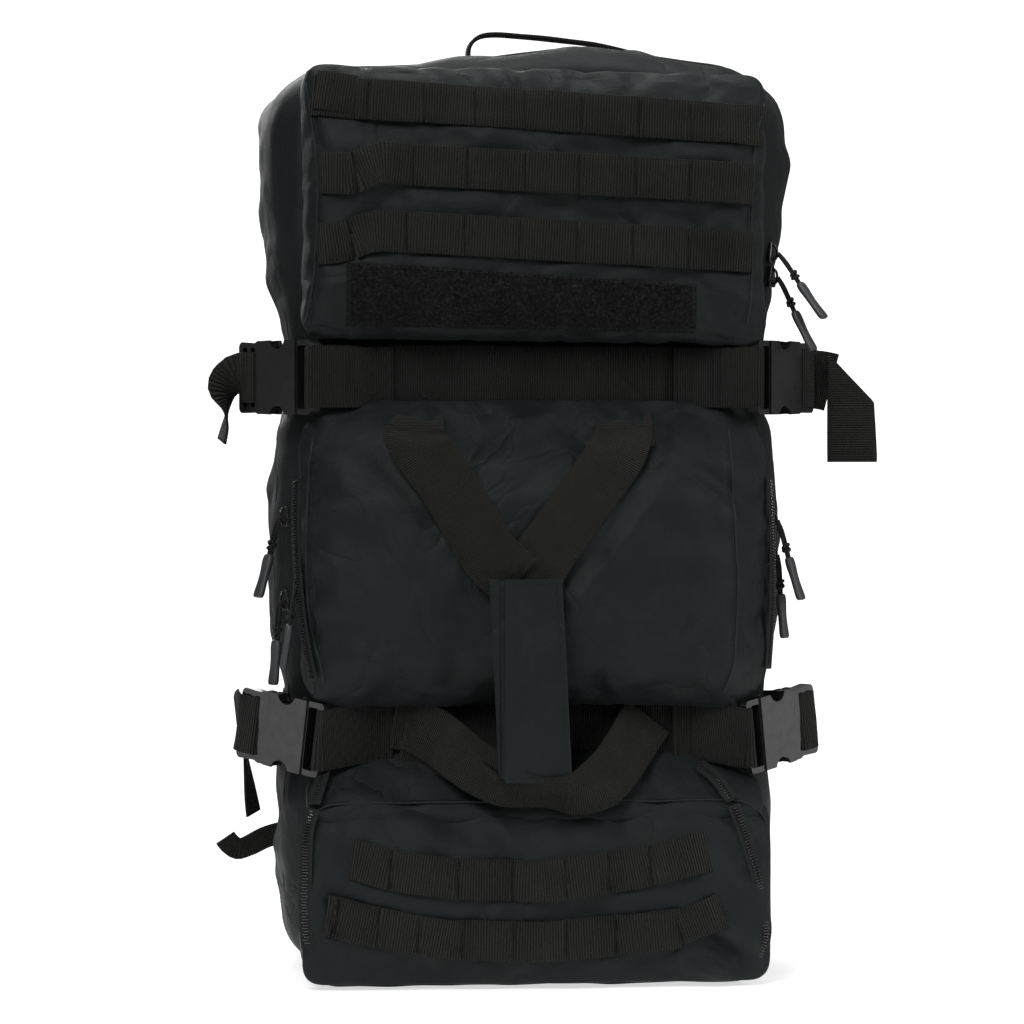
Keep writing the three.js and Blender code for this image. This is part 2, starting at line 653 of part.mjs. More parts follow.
const ZIPS = {
  right_upper_a: { side: 1, z: 479, lean: 0.62 },
  right_upper_b: { side: 1, z: 463, lean: 0.45 },
  right_middle_a: { side: 1, z: 305, lean: 0.28 },
  right_middle_b: { side: 1, z: 283, lean: 0.05 },
  left_middle_a: { side: -1, z: 305, lean: 0.28 },
  left_middle_b: { side: -1, z: 250, lean: 0.05 },
};
for (const [name, { side, z, lean }] of Object.entries(ZIPS)) {
  const turn = faceFrame(side);
  const slider = sliderSolid().applyMatrix4(turn);
  const at = onZip(side, z, off);
  add(`zip_slider_${name}`, slider.translate(at.x, at.y, at.z), ACETAL);
  const pull = pullSolid(lean).applyMatrix4(turn);
  const hook = onZip(side, z, off + SLIDER.high + GAP);
  add(`zip_pull_${name}`, pull.translate(hook.x, hook.y, hook.z), RUBBER);
}

// The middle pocket's own slider and pull, in one piece, on its left wall.
function pocketPull() {
  const turn = new THREE.Matrix4().makeBasis(
    new THREE.Vector3(0, -1, 0), new THREE.Vector3(0, 0, 1), new THREE.Vector3(-1, 0, 0));
  const pull = pullSolid(0.1).translate(0, 0, SLIDER.high - PULL.cordThick - 0.4);
  const made = join(sliderSolid(), pull);
  return made.applyMatrix4(turn).translate(-MIDDLE_POCKET.half - GAP, -70, 262);
}
add("zip_pull_pocket", pocketPull(), RUBBER);

export default bag;
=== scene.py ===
"""A tall soft black backpack standing on a pale floor. Lengths in the code are millimetres."""

import math

import bpy
import numpy as np
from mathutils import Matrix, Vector, noise
from mathutils.bvhtree import BVHTree


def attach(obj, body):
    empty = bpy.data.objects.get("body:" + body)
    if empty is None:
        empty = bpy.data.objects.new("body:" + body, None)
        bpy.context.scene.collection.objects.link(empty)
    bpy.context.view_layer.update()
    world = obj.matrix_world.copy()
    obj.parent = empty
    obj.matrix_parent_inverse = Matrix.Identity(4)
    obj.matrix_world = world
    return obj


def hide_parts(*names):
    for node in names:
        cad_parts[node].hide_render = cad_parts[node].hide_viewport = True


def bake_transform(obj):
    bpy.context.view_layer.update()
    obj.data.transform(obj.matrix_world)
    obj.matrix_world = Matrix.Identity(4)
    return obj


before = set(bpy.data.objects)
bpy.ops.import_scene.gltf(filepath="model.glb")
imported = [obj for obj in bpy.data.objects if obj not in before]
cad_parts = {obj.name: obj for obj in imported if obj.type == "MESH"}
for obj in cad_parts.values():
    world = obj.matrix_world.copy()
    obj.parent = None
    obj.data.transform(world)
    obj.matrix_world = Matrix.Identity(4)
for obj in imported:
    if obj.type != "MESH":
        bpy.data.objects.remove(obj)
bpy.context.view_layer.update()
MM = 0.001
UPPER_BELT_Z, LOWER_BELT_Z = 396, 165


# ---------- camera ----------
def make_camera():
    yaw, pitch, distance = math.radians(-5), math.radians(1.5), 2.6
    aim = Vector((-0.017, -0.09, 0.309))
    back = Vector((math.sin(yaw) * math.cos(pitch), -math.cos(yaw) * math.cos(pitch), math.sin(pitch)))
    data = bpy.data.cameras.new("camera")
    sensor, seen_width = 36, 0.6606
    data.sensor_width = sensor
    data.lens = sensor * distance / seen_width
    made = bpy.data.objects.new("camera", data)
    bpy.context.scene.collection.objects.link(made)
    made.location = aim + back * distance
    made.rotation_euler = (-back).to_track_quat("-Z", "Y").to_euler()
    bpy.context.scene.camera = made


make_camera()


# ---------- materials ----------
class Nodes:
    """A short way to write a node tree."""

    def __init__(self, material):
        self.tree = material.node_tree
        self.shader = self.tree.nodes["Principled BSDF"]

    def add(self, kind, inputs=None, **settings):
        made = self.tree.nodes.new(kind)
        for key, value in settings.items():
            setattr(made, key, value)
        for key, value in (inputs or {}).items():
            if isinstance(value, bpy.types.NodeSocket):
                self.tree.links.new(value, made.inputs[key])
            else:
                made.inputs[key].default_value = value
        return made

    def math(self, how, a, b=0.0):
        return self.add("ShaderNodeMath", {0: a, 1: b}, operation=how).outputs[0]

    def noise(self, vector, scale, detail=3.0, rough=0.5):
        given = {"Vector": vector, "Scale": scale, "Detail": detail, "Roughness": rough}
        return self.add("ShaderNodeTexNoise", given).outputs[0]

    def ramp(self, value, low, high):
        given = {"Value": value, "From Min": 0.3, "From Max": 0.7, "To Min": low, "To Max": high}
        return self.add("ShaderNodeMapRange", given).outputs[0]

    def tint(self, value, dark, light):
        mix = self.add("ShaderNodeMix", None, data_type="RGBA")
        self.tree.links.new(value, mix.inputs[0])
        mix.inputs[6].default_value = (*dark, 1)
        mix.inputs[7].default_value = (*light, 1)
        return mix.outputs[2]

    def bump(self, height, strength, distance, under=None):
        given = {"Height": height, "Strength": strength, "Distance": distance}
        if under is not None:
            given["Normal"] = under
        return self.add("ShaderNodeBump", given).outputs[0]

    def to(self, socket, value):
        if isinstance(value, bpy.types.NodeSocket):
            self.tree.links.new(value, self.shader.inputs[socket])
        else:
            self.shader.inputs[socket].default_value = value


def new_material(name):
    made = bpy.data.materials.new(name)
    made.use_nodes = True
    return made, Nodes(made)


def cloth_material(name, dark, light, rough, sheen, thread, relief, specular=0.5, edge_highlight=0.0):
    """Woven cloth: threads crossing in the object's own axes, with slow colour and gloss changes, and
    optionally a highlight painted on its sharp convex edges.
    """
    made, n = new_material(name)
    where = n.add("ShaderNodeTexCoord").outputs["Object"]
    split = n.add("ShaderNodeSeparateXYZ", {0: where})
    waves = []
    for axis in range(3):
        turns = n.math("MULTIPLY", split.outputs[axis], 2 * math.pi / (thread * MM))
        waves.append(n.math("SINE", turns))
    weave = n.math("MULTIPLY", n.math("ADD", waves[0], waves[1]), waves[2])
    grain = n.noise(where, 900.0, 2.0)
    patches = n.noise(where, 14.0, 4.0, 0.6)
    height = n.math("ADD", n.math("MULTIPLY", weave, 0.22), n.math("MULTIPLY", grain, 1.2))
    shade = n.math("ADD", n.math("MULTIPLY", patches, 0.6), n.math("MULTIPLY", grain, 0.4))
    colour = n.tint(n.ramp(shade, 0, 1), dark, light)
    # painted highlight: sharp convex edges and ridges are mixed towards a lighter colour
    if edge_highlight:
        edges = n.add("ShaderNodeNewGeometry").outputs["Pointiness"]
        painted_edge_light = n.add(
            "ShaderNodeMapRange",
            {"Value": edges, "From Min": 0.52, "From Max": 0.6, "To Min": 0.0, "To Max": edge_highlight},
        ).outputs[0]
        mix = n.add("ShaderNodeMix", None, data_type="RGBA")
        n.tree.links.new(painted_edge_light, mix.inputs[0])
        n.tree.links.new(colour, mix.inputs[6])
        mix.inputs[7].default_value = (*[4 * c for c in light], 1)
        colour = mix.outputs[2]
    n.to("Base Color", colour)
    n.to("Roughness", n.ramp(patches, rough - 0.06, rough + 0.06))
    n.to("Specular IOR Level", specular)
    n.to("Sheen Weight", sheen)
    n.to("Sheen Roughness", 0.45)
    wide = n.add("ShaderNodeTexNoise", {"Vector": where, "Scale": 11.0, "Detail": 3.0, "Distortion": 0.7})
    crease = n.math("ABSOLUTE", n.math("SUBTRACT", wide.outputs[0], 0.5))
    sharp = n.math("POWER", n.math("MINIMUM", n.math("MULTIPLY", crease, 9.0), 1.0), 0.6)
    slack = n.bump(sharp, 0.35, 0.0035)
    soft = n.bump(n.noise(where, 95.0, 3.0, 0.55), 0.35, 0.0016, slack)
    n.to("Normal", n.bump(height, relief, 0.00025, soft))
    return made


def webbing_material(name, dark, light, rib, relief, rough=0.75):
    """Ribbed webbing, with painted shade in the grooves between its ribs and a painted highlight on their
    crests. The u of its map runs across in metres, the v along.
    """
    made, n = new_material(name)
    where = n.add("ShaderNodeTexCoord")
    split = n.add("ShaderNodeSeparateXYZ", {0: where.outputs["UV"]})
    along = n.math("MULTIPLY", split.outputs[1], 2 * math.pi / (rib * MM))
    across = n.math("MULTIPLY", split.outputs[0], 2 * math.pi / (rib * 1.9 * MM))
    zigzag = n.math("MULTIPLY", n.math("SINE", across), 0.3)
    ribs = n.math("SINE", n.math("ADD", along, zigzag))
    lengthwise = n.math("SINE", n.math("MULTIPLY", across, 2.0))
    height = n.math("ADD", ribs, n.math("MULTIPLY", lengthwise, 0.12))
    slow = n.noise(where.outputs["Object"], 30.0, 4.0, 0.6)
    fuzz = n.noise(where.outputs["Object"], 1500.0, 1.0)
    # painted shade and highlight: the colour is darker in the rib grooves and lighter on the crests, over
    # slow random tone
    shade = n.math("ADD", n.math("MULTIPLY", ribs, 0.3), slow)
    n.to("Base Color", n.tint(n.ramp(shade, 0, 1), dark, light))
    n.to("Roughness", rough)
    n.to("Specular IOR Level", 0.18)
    n.to("Sheen Weight", 0.03)
    n.to("Sheen Roughness", 0.5)
    n.to("Normal", n.bump(n.math("ADD", height, fuzz), relief, 0.0008))
    return made


def plastic_material(name, dark, light, rough, grain=0.1, specular=0.5):
    made, n = new_material(name)
    where = n.add("ShaderNodeTexCoord").outputs["Object"]
    slow = n.noise(where, 45.0, 4.0)
    n.to("Base Color", n.tint(n.ramp(slow, 0, 1), dark, light))
    n.to("Roughness", n.ramp(n.noise(where, 160.0, 4.0), rough - 0.02, rough + 0.04))
    n.to("Specular IOR Level", specular)
    n.to("Normal", n.bump(n.noise(where, 2200.0, 2.0), grain, 0.0002))
    return made


def pile_material(name):
    """The loop side of a hook-and-loop patch: very dark and furry."""
    made, n = new_material(name)
    where = n.add("ShaderNodeTexCoord").outputs["Object"]
    fur = n.noise(where, 430.0, 5.0, 0.85)
    tufts = n.noise(where, 260.0, 3.0, 0.6)
    tips = n.math("POWER", n.ramp(fur, 0, 1), 3.0)
    n.to("Base Color", n.tint(tips, (0.0009, 0.0009, 0.0011), (0.029, 0.03, 0.032)))
    n.to("Roughness", 1.0)
    n.to("Specular IOR Level", 0.08)
    n.to("Sheen Weight", 0.04)
    n.to("Normal", n.bump(n.math("ADD", fur, tufts), 0.9, 0.0012))
    return made


# its last number is the strength of the highlight painted on convex edges
NYLON = cloth_material(
    "coated_nylon", (0.0048, 0.0064, 0.0068), (0.008, 0.0104, 0.0109), 0.52, 0.02, 0.95, 0.75, 0.14, 0.35)
BINDING = cloth_material(
    "binding_tape", (0.004, 0.0043, 0.0045), (0.008, 0.0085, 0.0087), 0.7, 0.03, 1.3, 0.6, 0.2)
SPACER = cloth_material(
    "spacer_mesh", (0.003, 0.0033, 0.0035), (0.01, 0.011, 0.0115), 0.85, 0.06, 3.2, 1.0, 0.15)
WEBBING = webbing_material("webbing", (0.0007, 0.0007, 0.0005), (0.0152, 0.0148, 0.0122), 1.8, 1.0)
HANDLE_WEBBING = webbing_material(
    "handle_webbing", (0.0014, 0.0014, 0.001), (0.0142, 0.0138, 0.0112), 1.35, 0.9)
WIDE_WEBBING = webbing_material(
    "belt_webbing", (0.0008, 0.0008, 0.0006), (0.0112, 0.011, 0.0093), 1.6, 1.0)
THREAD = plastic_material("thread", (0.006, 0.0062, 0.006), (0.013, 0.013, 0.0125), 0.55, 0.2, 0.2)
ACETAL = plastic_material("buckle_plastic", (0.0065, 0.0065, 0.007), (0.0085, 0.0085, 0.009), 0.24, 0.02)
ZIP_PLASTIC = plastic_material("zip_teeth", (0.008, 0.008, 0.0085), (0.014, 0.014, 0.015), 0.22, 0.03, 0.5)
RUBBER = plastic_material("moulded_tab", (0.02, 0.021, 0.023), (0.032, 0.033, 0.036), 0.5, 0.3)
CORD = webbing_material("pull_cord", (0.008, 0.008, 0.008), (0.02, 0.02, 0.02), 1.4, 0.8)
PILE = pile_material("loop_pile")
SHEET = plastic_material("stiffener", (0.02, 0.02, 0.021), (0.03, 0.03, 0.031), 0.5, 0.3)


# ---------- meshes ----------
def mesh_object(name, points, faces, material, smooth=True, uv=None):
    """An object from points in millimetres. uv gives one pair for each point of each face."""
    data = bpy.data.meshes.new(name)
    data.from_pydata([tuple(p) for p in np.asarray(points, float) * MM], [], [list(f) for f in faces])
    if uv is not None:
        layer = data.uv_layers.new(name="map")
        layer.data.foreach_set("uv", np.asarray(uv, np.float32).ravel())
    data.materials.append(material)
    data.polygons.foreach_set("use_smooth", [smooth] * len(data.polygons))
    data.validate()
    made = bpy.data.objects.new(name, data)
    bpy.context.scene.collection.objects.link(made)
    return made


def place(made, body, node=None):
    """Hangs a piece on its body, and hides the CAD node it stands for."""
    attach(made, body)
    if node:
        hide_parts(node)


def ring_quads(rings, count):
    """Quads between closed rings of points that follow each other."""
    faces = []
    for r in range(rings - 1):
        for k in range(count):
            a, b = r * count + k, r * count + (k + 1) % count
            faces.append((a, b, b + count, a + count))
    return faces


def end_face(ring, count):
    """The face that closes a ring of points."""
    return tuple(ring * count + k for k in range(count))


def tube_faces(rings, count, turned=False):
    """The closed skin of rings of points. turned is for rings that run the other way round."""
    quads, first, last = ring_quads(rings, count), end_face(0, count), end_face(rings - 1, count)
    if turned:
        return [*[(a, d, c, b) for a, b, c, d in quads], first, last[::-1]]
    return [*quads, first[::-1], last]


def slab_faces(cols, rows):
    """Faces of two grids of points, front and back, joined round their rim."""
    size, faces = cols * rows, []
    for j in range(rows - 1):
        for i in range(cols - 1):
            a = j * cols + i
            b = size + a
            faces += [(a, a + 1, a + cols + 1, a + cols), (b, b + cols, b + cols + 1, b + 1)]
    rim = [*range(cols), *[j * cols + cols - 1 for j in range(1, rows)]]
    rim += [(rows - 1) * cols + i for i in range(cols - 2, -1, -1)]
    rim += [j * cols for j in range(rows - 2, 0, -1)]
    return faces + [(a, a + size, b + size, b) for a, b in zip(rim, rim[1:] + rim[:1])]


def distances(path):
    """How far along a path each of its points is."""
    return np.concatenate([[0], np.cumsum(np.linalg.norm(np.diff(path, axis=0), axis=1))])


def directions(path):
    """Which way a path runs at each of its points."""
    along = np.gradient(path, axis=0)
    return along / np.maximum(np.linalg.norm(along, axis=1, keepdims=True), 1e-9)


def at_distance(travelled, values, s):
    """The value at a distance along a path, from one row of numbers for each of its points."""
    return np.array([np.interp(s, travelled, values[:, k]) for k in range(3)])


def squared(value, power):
    """A sine or cosine pushed outwards, for an ellipse with squarer corners."""
    return math.copysign(abs(value) ** power, value)


def points_of(obj):
    """An object's points in millimetres."""
    co = np.zeros(len(obj.data.vertices) * 3)
    obj.data.vertices.foreach_get("co", co)
    return co.reshape(-1, 3) / MM


def put_points(obj, points):
    obj.data.vertices.foreach_set("co", (np.asarray(points) * MM).ravel())
    obj.data.update()


def smooth_levels(obj, levels):
    mod = obj.modifiers.new("smooth", "SUBSURF")
    mod.levels = mod.render_levels = levels
    apply_modifiers(obj)


def apply_modifiers(obj):
    bpy.context.view_layer.update()
    graph = bpy.context.evaluated_depsgraph_get()
    data = bpy.data.meshes.new_from_object(obj.evaluated_get(graph), depsgraph=graph)
    obj.modifiers.clear()
    obj.data = data


def lattice(xs, ys, zs):
    """The closed surface of a block, with points on those planes: points and quads."""
    index, points, faces = {}, [], []
    size = (len(xs), len(ys), len(zs))

    def at(i, j, k):
        key = (i, j, k)
        if key not in index:
            index[key] = len(points)
            points.append((xs[i], ys[j], zs[k]))
        return index[key]

    nx, ny, nz = (s - 1 for s in size)
    for i in range(nx):
        for k in range(nz):
            faces.append((at(i, 0, k), at(i + 1, 0, k), at(i + 1, 0, k + 1), at(i, 0, k + 1)))
            faces.append((at(i, ny, k), at(i, ny, k + 1), at(i + 1, ny, k + 1), at(i + 1, ny, k)))
    for j in range(ny):
        for k in range(nz):
            faces.append((at(0, j, k), at(0, j, k + 1), at(0, j + 1, k + 1), at(0, j + 1, k))[::-1])
            faces.append((at(nx, j, k), at(nx, j + 1, k), at(nx, j + 1, k + 1), at(nx, j, k + 1)))
    for i in range(nx):
        for j in range(ny):
            faces.append((at(i, j, 0), at(i, j + 1, 0), at(i + 1, j + 1, 0), at(i + 1, j, 0)))
            faces.append((at(i, j, nz), at(i + 1, j, nz), at(i + 1, j + 1, nz), at(i, j + 1, nz)))
    return np.array(points, float), [tuple(f) for f in faces]


def spaced(low, high, step, radius):
    """Planes from low to high, closer together near both ends."""
    ends = low + radius * (1 - np.cos(np.linspace(0, np.pi / 2, 5)))
    middle = np.linspace(low + radius, high - radius, max(2, int((high - low - 2 * radius) / step)))
    return np.unique(np.round(np.concatenate([ends, middle, low + high - ends]), 4))


def rounded(points, low, high, radius):
    """Rounds a block's edges. radius is one number for each axis."""
    low, high, radius = (np.array(v, float) for v in (low, high, radius))
    inner = np.clip(points, low + radius, high - radius)
    away = (points - inner) / radius
    length = np.linalg.norm(away, axis=1, keepdims=True)
    return inner + radius * away / np.maximum(length, 1e-9)


def fold(points, x0, z0, x1, z1, width, depth):
    """How far a straight crease or ridge, seen from the front, moves each point along Y."""
    p = points[:, [0, 2]]
    a, b = np.array([x0, z0], float), np.array([x1, z1], float)
    along = b - a
    t = ((p - a) @ along) / (along @ along)
    off = np.linalg.norm(p - (a + np.clip(t, 0, 1)[:, None] * along), axis=1)
    taper = np.clip(np.minimum(t, 1 - t) / 0.25 + 0.35, 0, 1)
    return depth * np.exp(-((off / width) ** 2)) * taper


def rounded_block(low, high, steps, ends, radius):
    """A closed block with rounded edges. steps and ends say how its planes are spaced on each axis."""
    points, faces = lattice(*[spaced(low[k], high[k], steps[k], ends[k]) for k in range(3)])
    return rounded(points, low, high, radius), faces


def crumple(points, scale, seed=0.0, stretch=(1, 1, 1)):
    """Smooth seeded noise from -1 to 1 at each point."""
    s = np.array(stretch) / scale
    return np.array([noise.fractal(Vector(p * s) + Vector((seed, 7 * seed, 3)), 0.8, 2.1, 3) for p in points])


def simulate(obj, pinned, pressure, slack, farthest, frames=18):
    """Swells and wrinkles a piece as cloth with its pinned points held, then keeps the result."""
    start = points_of(obj)
    group = obj.vertex_groups.new(name="held")
    for i in np.nonzero(pinned > 0.02)[0]:
        group.add([int(i)], float(pinned[i]), "REPLACE")
    mod = obj.modifiers.new("cloth", "CLOTH")
    cloth = mod.settings
    cloth.quality = 6
    cloth.mass = 0.25
    cloth.tension_stiffness = cloth.compression_stiffness = 12
    cloth.shear_stiffness = 6
    cloth.bending_stiffness = 0.35
    cloth.use_pressure = True
    cloth.uniform_pressure_force = pressure
    cloth.shrink_min = cloth.shrink_max = -slack
    cloth.vertex_group_mass = "held"
    cloth.pin_stiffness = 2
    cloth.effector_weights.gravity = 0
    scene = bpy.context.scene
    mod.point_cache.frame_start, mod.point_cache.frame_end = 1, frames
    for number in range(1, frames + 1):
        scene.frame_set(number)
    graph = bpy.context.evaluated_depsgraph_get()
    shown = obj.evaluated_get(graph)
    co = np.zeros(len(start) * 3)
    shown.data.vertices.foreach_get("co", co)
    moved = co.reshape(-1, 3) / MM - start
    obj.modifiers.clear()
    scene.frame_set(1)
    length = np.linalg.norm(moved, axis=1, keepdims=True)
    moved *= np.minimum(1, farthest / np.maximum(length, 1e-6))
    put_points(obj, start + np.nan_to_num(moved))


def keep_above_floor(obj, clearance=0.3):
    points = points_of(obj)
    points[:, 2] = np.maximum(points[:, 2], clearance)
    put_points(obj, points)


def thicken(obj, thickness):
    """Gives a skin of cloth its thickness, then smooths it."""
    mod = obj.modifiers.new("wall", "SOLIDIFY")
    mod.thickness = thickness * MM
    mod.offset = -1
    apply_modifiers(obj)
    smooth_levels(obj, 1)
    keep_above_floor(obj)


def surface(*objects):
    """A tree of the objects' surfaces, for laying things on them."""
    points, faces = [], []
    for obj in objects:
        faces += [[i + len(points) for i in f.vertices] for f in obj.data.polygons]
        points += [tuple(p) for p in points_of(obj)]
    return BVHTree.FromPolygons(points, faces)


def lay(tree, x, z, fallback=-52.0):
    """The front surface's y at (x, z)."""
    hit = tree.ray_cast(Vector((x, -400, z)), Vector((0, 1, 0)))[0]
    return fallback if hit is None else hit.y


# ---------- webbing ----------
def smooth_path(stations, step=2.5):
    """Points and width directions on a smooth curve through the stations."""
    keys = np.array(stations, float)
    n = len(keys)
    if n == 2:
        count = max(2, int(np.linalg.norm(keys[1, :3] - keys[0, :3]) / step))
        return np.linspace(keys[0], keys[1], count + 1)
    padded = np.vstack([2 * keys[0] - keys[1], keys, 2 * keys[-1] - keys[-2]])
    out = []
    for i in range(1, n):
        a, b, c, d = padded[i - 1], padded[i], padded[i + 1], padded[i + 2]
        count = max(2, int(np.linalg.norm(c[:3] - b[:3]) / step))
        t = np.linspace(0, 1, count, endpoint=False)[:, None]
        out.append(0.5 * (2 * b + (c - a) * t + (2 * a - 5 * b + 4 * c - d) * t**2
                          + (3 * b - a - 3 * c + d) * t**3))
    return np.vstack([*out, keys[-1:]])


def smooth_points(points, step):
    """Points on a smooth curve through the given ones."""
    return smooth_path([(*p, 0, 0, 1) for p in points], step)[:, :3]


def webbing(name, stations, width, thick, material, step=2.5, wave=0.0, seed=0.0, smooth=True):
    """Webbing along stations of point and width direction, six numbers each."""
    path = smooth_path(stations, step) if smooth else np.array(stations, float)
    centre, side = path[:, :3], path[:, 3:6]
    side = side / np.linalg.norm(side, axis=1, keepdims=True)
    along = directions(centre)
    side = side - along * np.sum(side * along, axis=1, keepdims=True)
    side /= np.linalg.norm(side, axis=1, keepdims=True)
    up = np.cross(along, side)
    travelled = distances(centre)
    half, h = width / 2, thick / 2
    section = [(-half, -h * 0.4), (-half + 0.5, -h), (-half / 2, -h), (0, -h), (half / 2, -h),
               (half - 0.5, -h), (half, -h * 0.4), (half, h * 0.4), (half - 0.5, h), (half / 2, h),
               (0, h), (-half / 2, h), (-half + 0.5, h), (-half, h * 0.4)]
    m, n = len(section), len(centre)
    points = []
    for i in range(n):
        for a, b in section:
            ripple = 0.0
            if wave:
                ripple = wave * noise.noise(Vector((travelled[i] / 26, a / 22 + seed, seed)))
            points.append(centre[i] + side[i] * a + up[i] * (b + ripple))
    faces = tube_faces(n, m)
    uv = [(section[i % m][0] * MM, travelled[i // m] * MM) for face in faces for i in face]
    return mesh_object(name, points, faces, material, True, uv)


def tube(name, path, radius, material, sides=8):
    """A round rod along points."""
    centre = np.array(path, float)
    along = directions(centre)
    guide = np.array([0.0, 0.0, 1.0]) if abs(along[0, 2]) < 0.9 else np.array([1.0, 0.0, 0.0])
    points, uv = [], []
    travelled = distances(centre)
    for i, p in enumerate(centre):
        guide = guide - along[i] * (guide @ along[i])
        guide /= np.linalg.norm(guide)
        other = np.cross(along[i], guide)
        for k in range(sides):
            a = 2 * math.pi * k / sides
            points.append(p + radius * (guide * math.cos(a) + other * math.sin(a)))
    for i in range(len(centre) - 1):
        for k in range(sides):
            ua, ub = k / sides * 6 * radius * MM, (k + 1) / sides * 6 * radius * MM
            va, vb = travelled[i] * MM, travelled[i + 1] * MM
            uv += [(ua, va), (ub, va), (ub, vb), (ua, vb)]
    faces = tube_faces(len(centre), sides)
    uv += [(0, 0)] * (2 * sides)
    return mesh_object(name, points, faces, material, True, uv)


# ---------- stitches ----------
STITCHES = {}


def stitch(body, path, outward, pitch=3.2, length=2.3, thick=0.55):
    """A row of stitches along points, kept until the body's threads are made."""
    path = np.array(path, float)
    travelled = distances(path)
    for s in np.arange(pitch / 2, travelled[-1], pitch):
        ends = [at_distance(travelled, path, v) for v in (s - length / 2, s + length / 2)]
        STITCHES.setdefault(body, []).append((ends[0], ends[1], np.array(outward, float), thick))


def make_stitches():
    for body, rows in STITCHES.items():
        points, faces = [], []
        for a, b, out, thick in rows:
            along = b - a
            length = np.linalg.norm(along)
            if length < 0.3:
                continue
            along /= length
            side = np.cross(along, out)
            side /= max(np.linalg.norm(side), 1e-9)
            lift = np.cross(side, along)
            base = len(points)
            for t, r in ((0, 0.35), (0.25, 1), (0.75, 1), (1, 0.35)):
                centre = a + (b - a) * t + lift * thick * (0.5 * r - 0.25)
                for u, v in ((-1, 0), (0, 1), (1, 0), (0, -1)):
                    points.append(centre + (side * u + lift * v) * thick * 0.5 * r)
            faces += [tuple(base + i for i in face) for face in tube_faces(4, 4)]
        piece = mesh_object(f"stitching_{body}", points, faces, THREAD)
        place(piece, body)


# ---------- rear compartment ----------
def half_width(z):
    """The bag's half width, drawn in where the belts hold it."""
    heights = [0, 20, 60, 120, 165, 195, 235, 300, 340, 373, 396, 421, 486, 545, 580, 600]
    widths = [150, 156, 161, 161, 156, 158, 166.4, 167, 164, 157, 154, 157, 165.8, 165.9, 165, 160]
    return np.interp(z, heights, widths)


def corner_arcs(half, z0, z1, corner, parts):
    """Each corner's arc of a rounded rectangle: its centre and the outward direction of each point."""
    line = []
    for cx, cz, start in ((half - corner, z0 + corner, -90), (half - corner, z1 - corner, 0),
                          (-half + corner, z1 - corner, 90), (-half + corner, z0 + corner, 180)):
        for a in np.radians(np.linspace(start, start + 90, parts)):
            line.append((cx, cz, math.cos(a), math.sin(a)))
    return np.array(line)


def outline(inset, step=7.0):
    """Points round the bag, seen from the front, with their outward directions."""
    half, top, corner, dome = 165.0, 600.0, 38.0, 13.0
    arcs = corner_arcs(half, 0.0, top, corner, 9)
    line = arcs[:, :2] + corner * arcs[:, 2:]
    line = np.vstack([line, line[:1]])
    travelled = distances(line)
    s = np.linspace(0, travelled[-1], int(travelled[-1] / step), endpoint=False)
    flat = np.stack([np.interp(s, travelled, line[:, k]) for k in range(2)], axis=1)
    ahead, behind = np.roll(flat, -1, axis=0), np.roll(flat, 1, axis=0)
    along = ahead - behind
    out = np.stack([along[:, 1], -along[:, 0]], axis=1)
    out /= np.linalg.norm(out, axis=1, keepdims=True)
    out = (out + np.roll(out, 1, axis=0) + np.roll(out, -1, axis=0)) / 3
    flat[:, 0] *= half_width(flat[:, 1]) / half
    flat[:, 1] += dome * np.exp(-(((flat[:, 0] - 35) / 78) ** 2)) * (flat[:, 1] > 560)
    return flat - out * inset, out


# inset and y of each ring, from the mouth's lip round the soft front edge to the back
RINGS = [(19, -34), (15.5, -35), (11.5, -32.5), (7.5, -27), (3.5, -21), (1, -14), (0, -6)]
RINGS += [(-1.2 * math.sin(math.pi * t), -6 + 86 * t) for t in np.linspace(0.08, 1, 13)]
RINGS += [(1.2, 87), (4, 94), (8.5, 100), (14, 104), (20, 105), (40, 105), (70, 105), (105, 105)]


def rear_compartment():
    points = []
    base, out = outline(0)
    count = len(base)
    for inset, y in RINGS:
        ring = base - out * min(inset, 22)
        if inset > 22:
            shrink = 1 - (inset - 22) / 160
            centre = np.array([0, 300.0])
            ring = centre + (ring - centre) * [shrink, 1 - (inset - 22) / 330]
        fuller = np.clip((y + 22) / 26, 0, 1) * np.clip((90 - y) / 26, 0, 1)
        for x, z in ring:
            extra = fuller * np.interp(z, (430, 500, 550, 580, 600), (0, 5, 8, 6, 0))
            points.append((x + math.copysign(extra, x) * (abs(x) > 120), y, z))
    rings = len(RINGS)
    faces = ring_quads(rings, count)
    points.append((0, 105, 300))
    last = (rings - 1) * count
    for k in range(count):
        faces.append((last + k, last + (k + 1) % count, len(points) - 1))
    points = np.array(points, float)
    side = np.clip((points[:, 1] + 20) / 12, 0, 1) * np.clip((98 - points[:, 1]) / 12, 0, 1)
    outward = np.zeros_like(points)
    outward[: rings * count, [0, 2]] = np.tile(out, (rings, 1))
    folds = crumple(points, 55, 1.0, (1, 0.7, 1.6)) * 4.2 + crumple(points, 22, 2.0, (1, 1, 1.4)) * 1.8
    # the belts pull shallow grooves into the sides
    for z, pull in ((UPPER_BELT_Z, 2.5), (LOWER_BELT_Z, 2.0)):
        folds -= pull * np.exp(-(((points[:, 2] - z) / 22) ** 2)) * (abs(points[:, 0]) > 120)
    points += outward * (folds * side)[:, None]
    floor = points[:, 2] < 12
    points[floor, 2] = np.maximum(points[floor, 2], 0.6)
    made = mesh_object("rear_compartment", points, faces, NYLON)
    thicken(made, 2.2)
    place(made, "pack", "rear_shell")


rear_compartment()


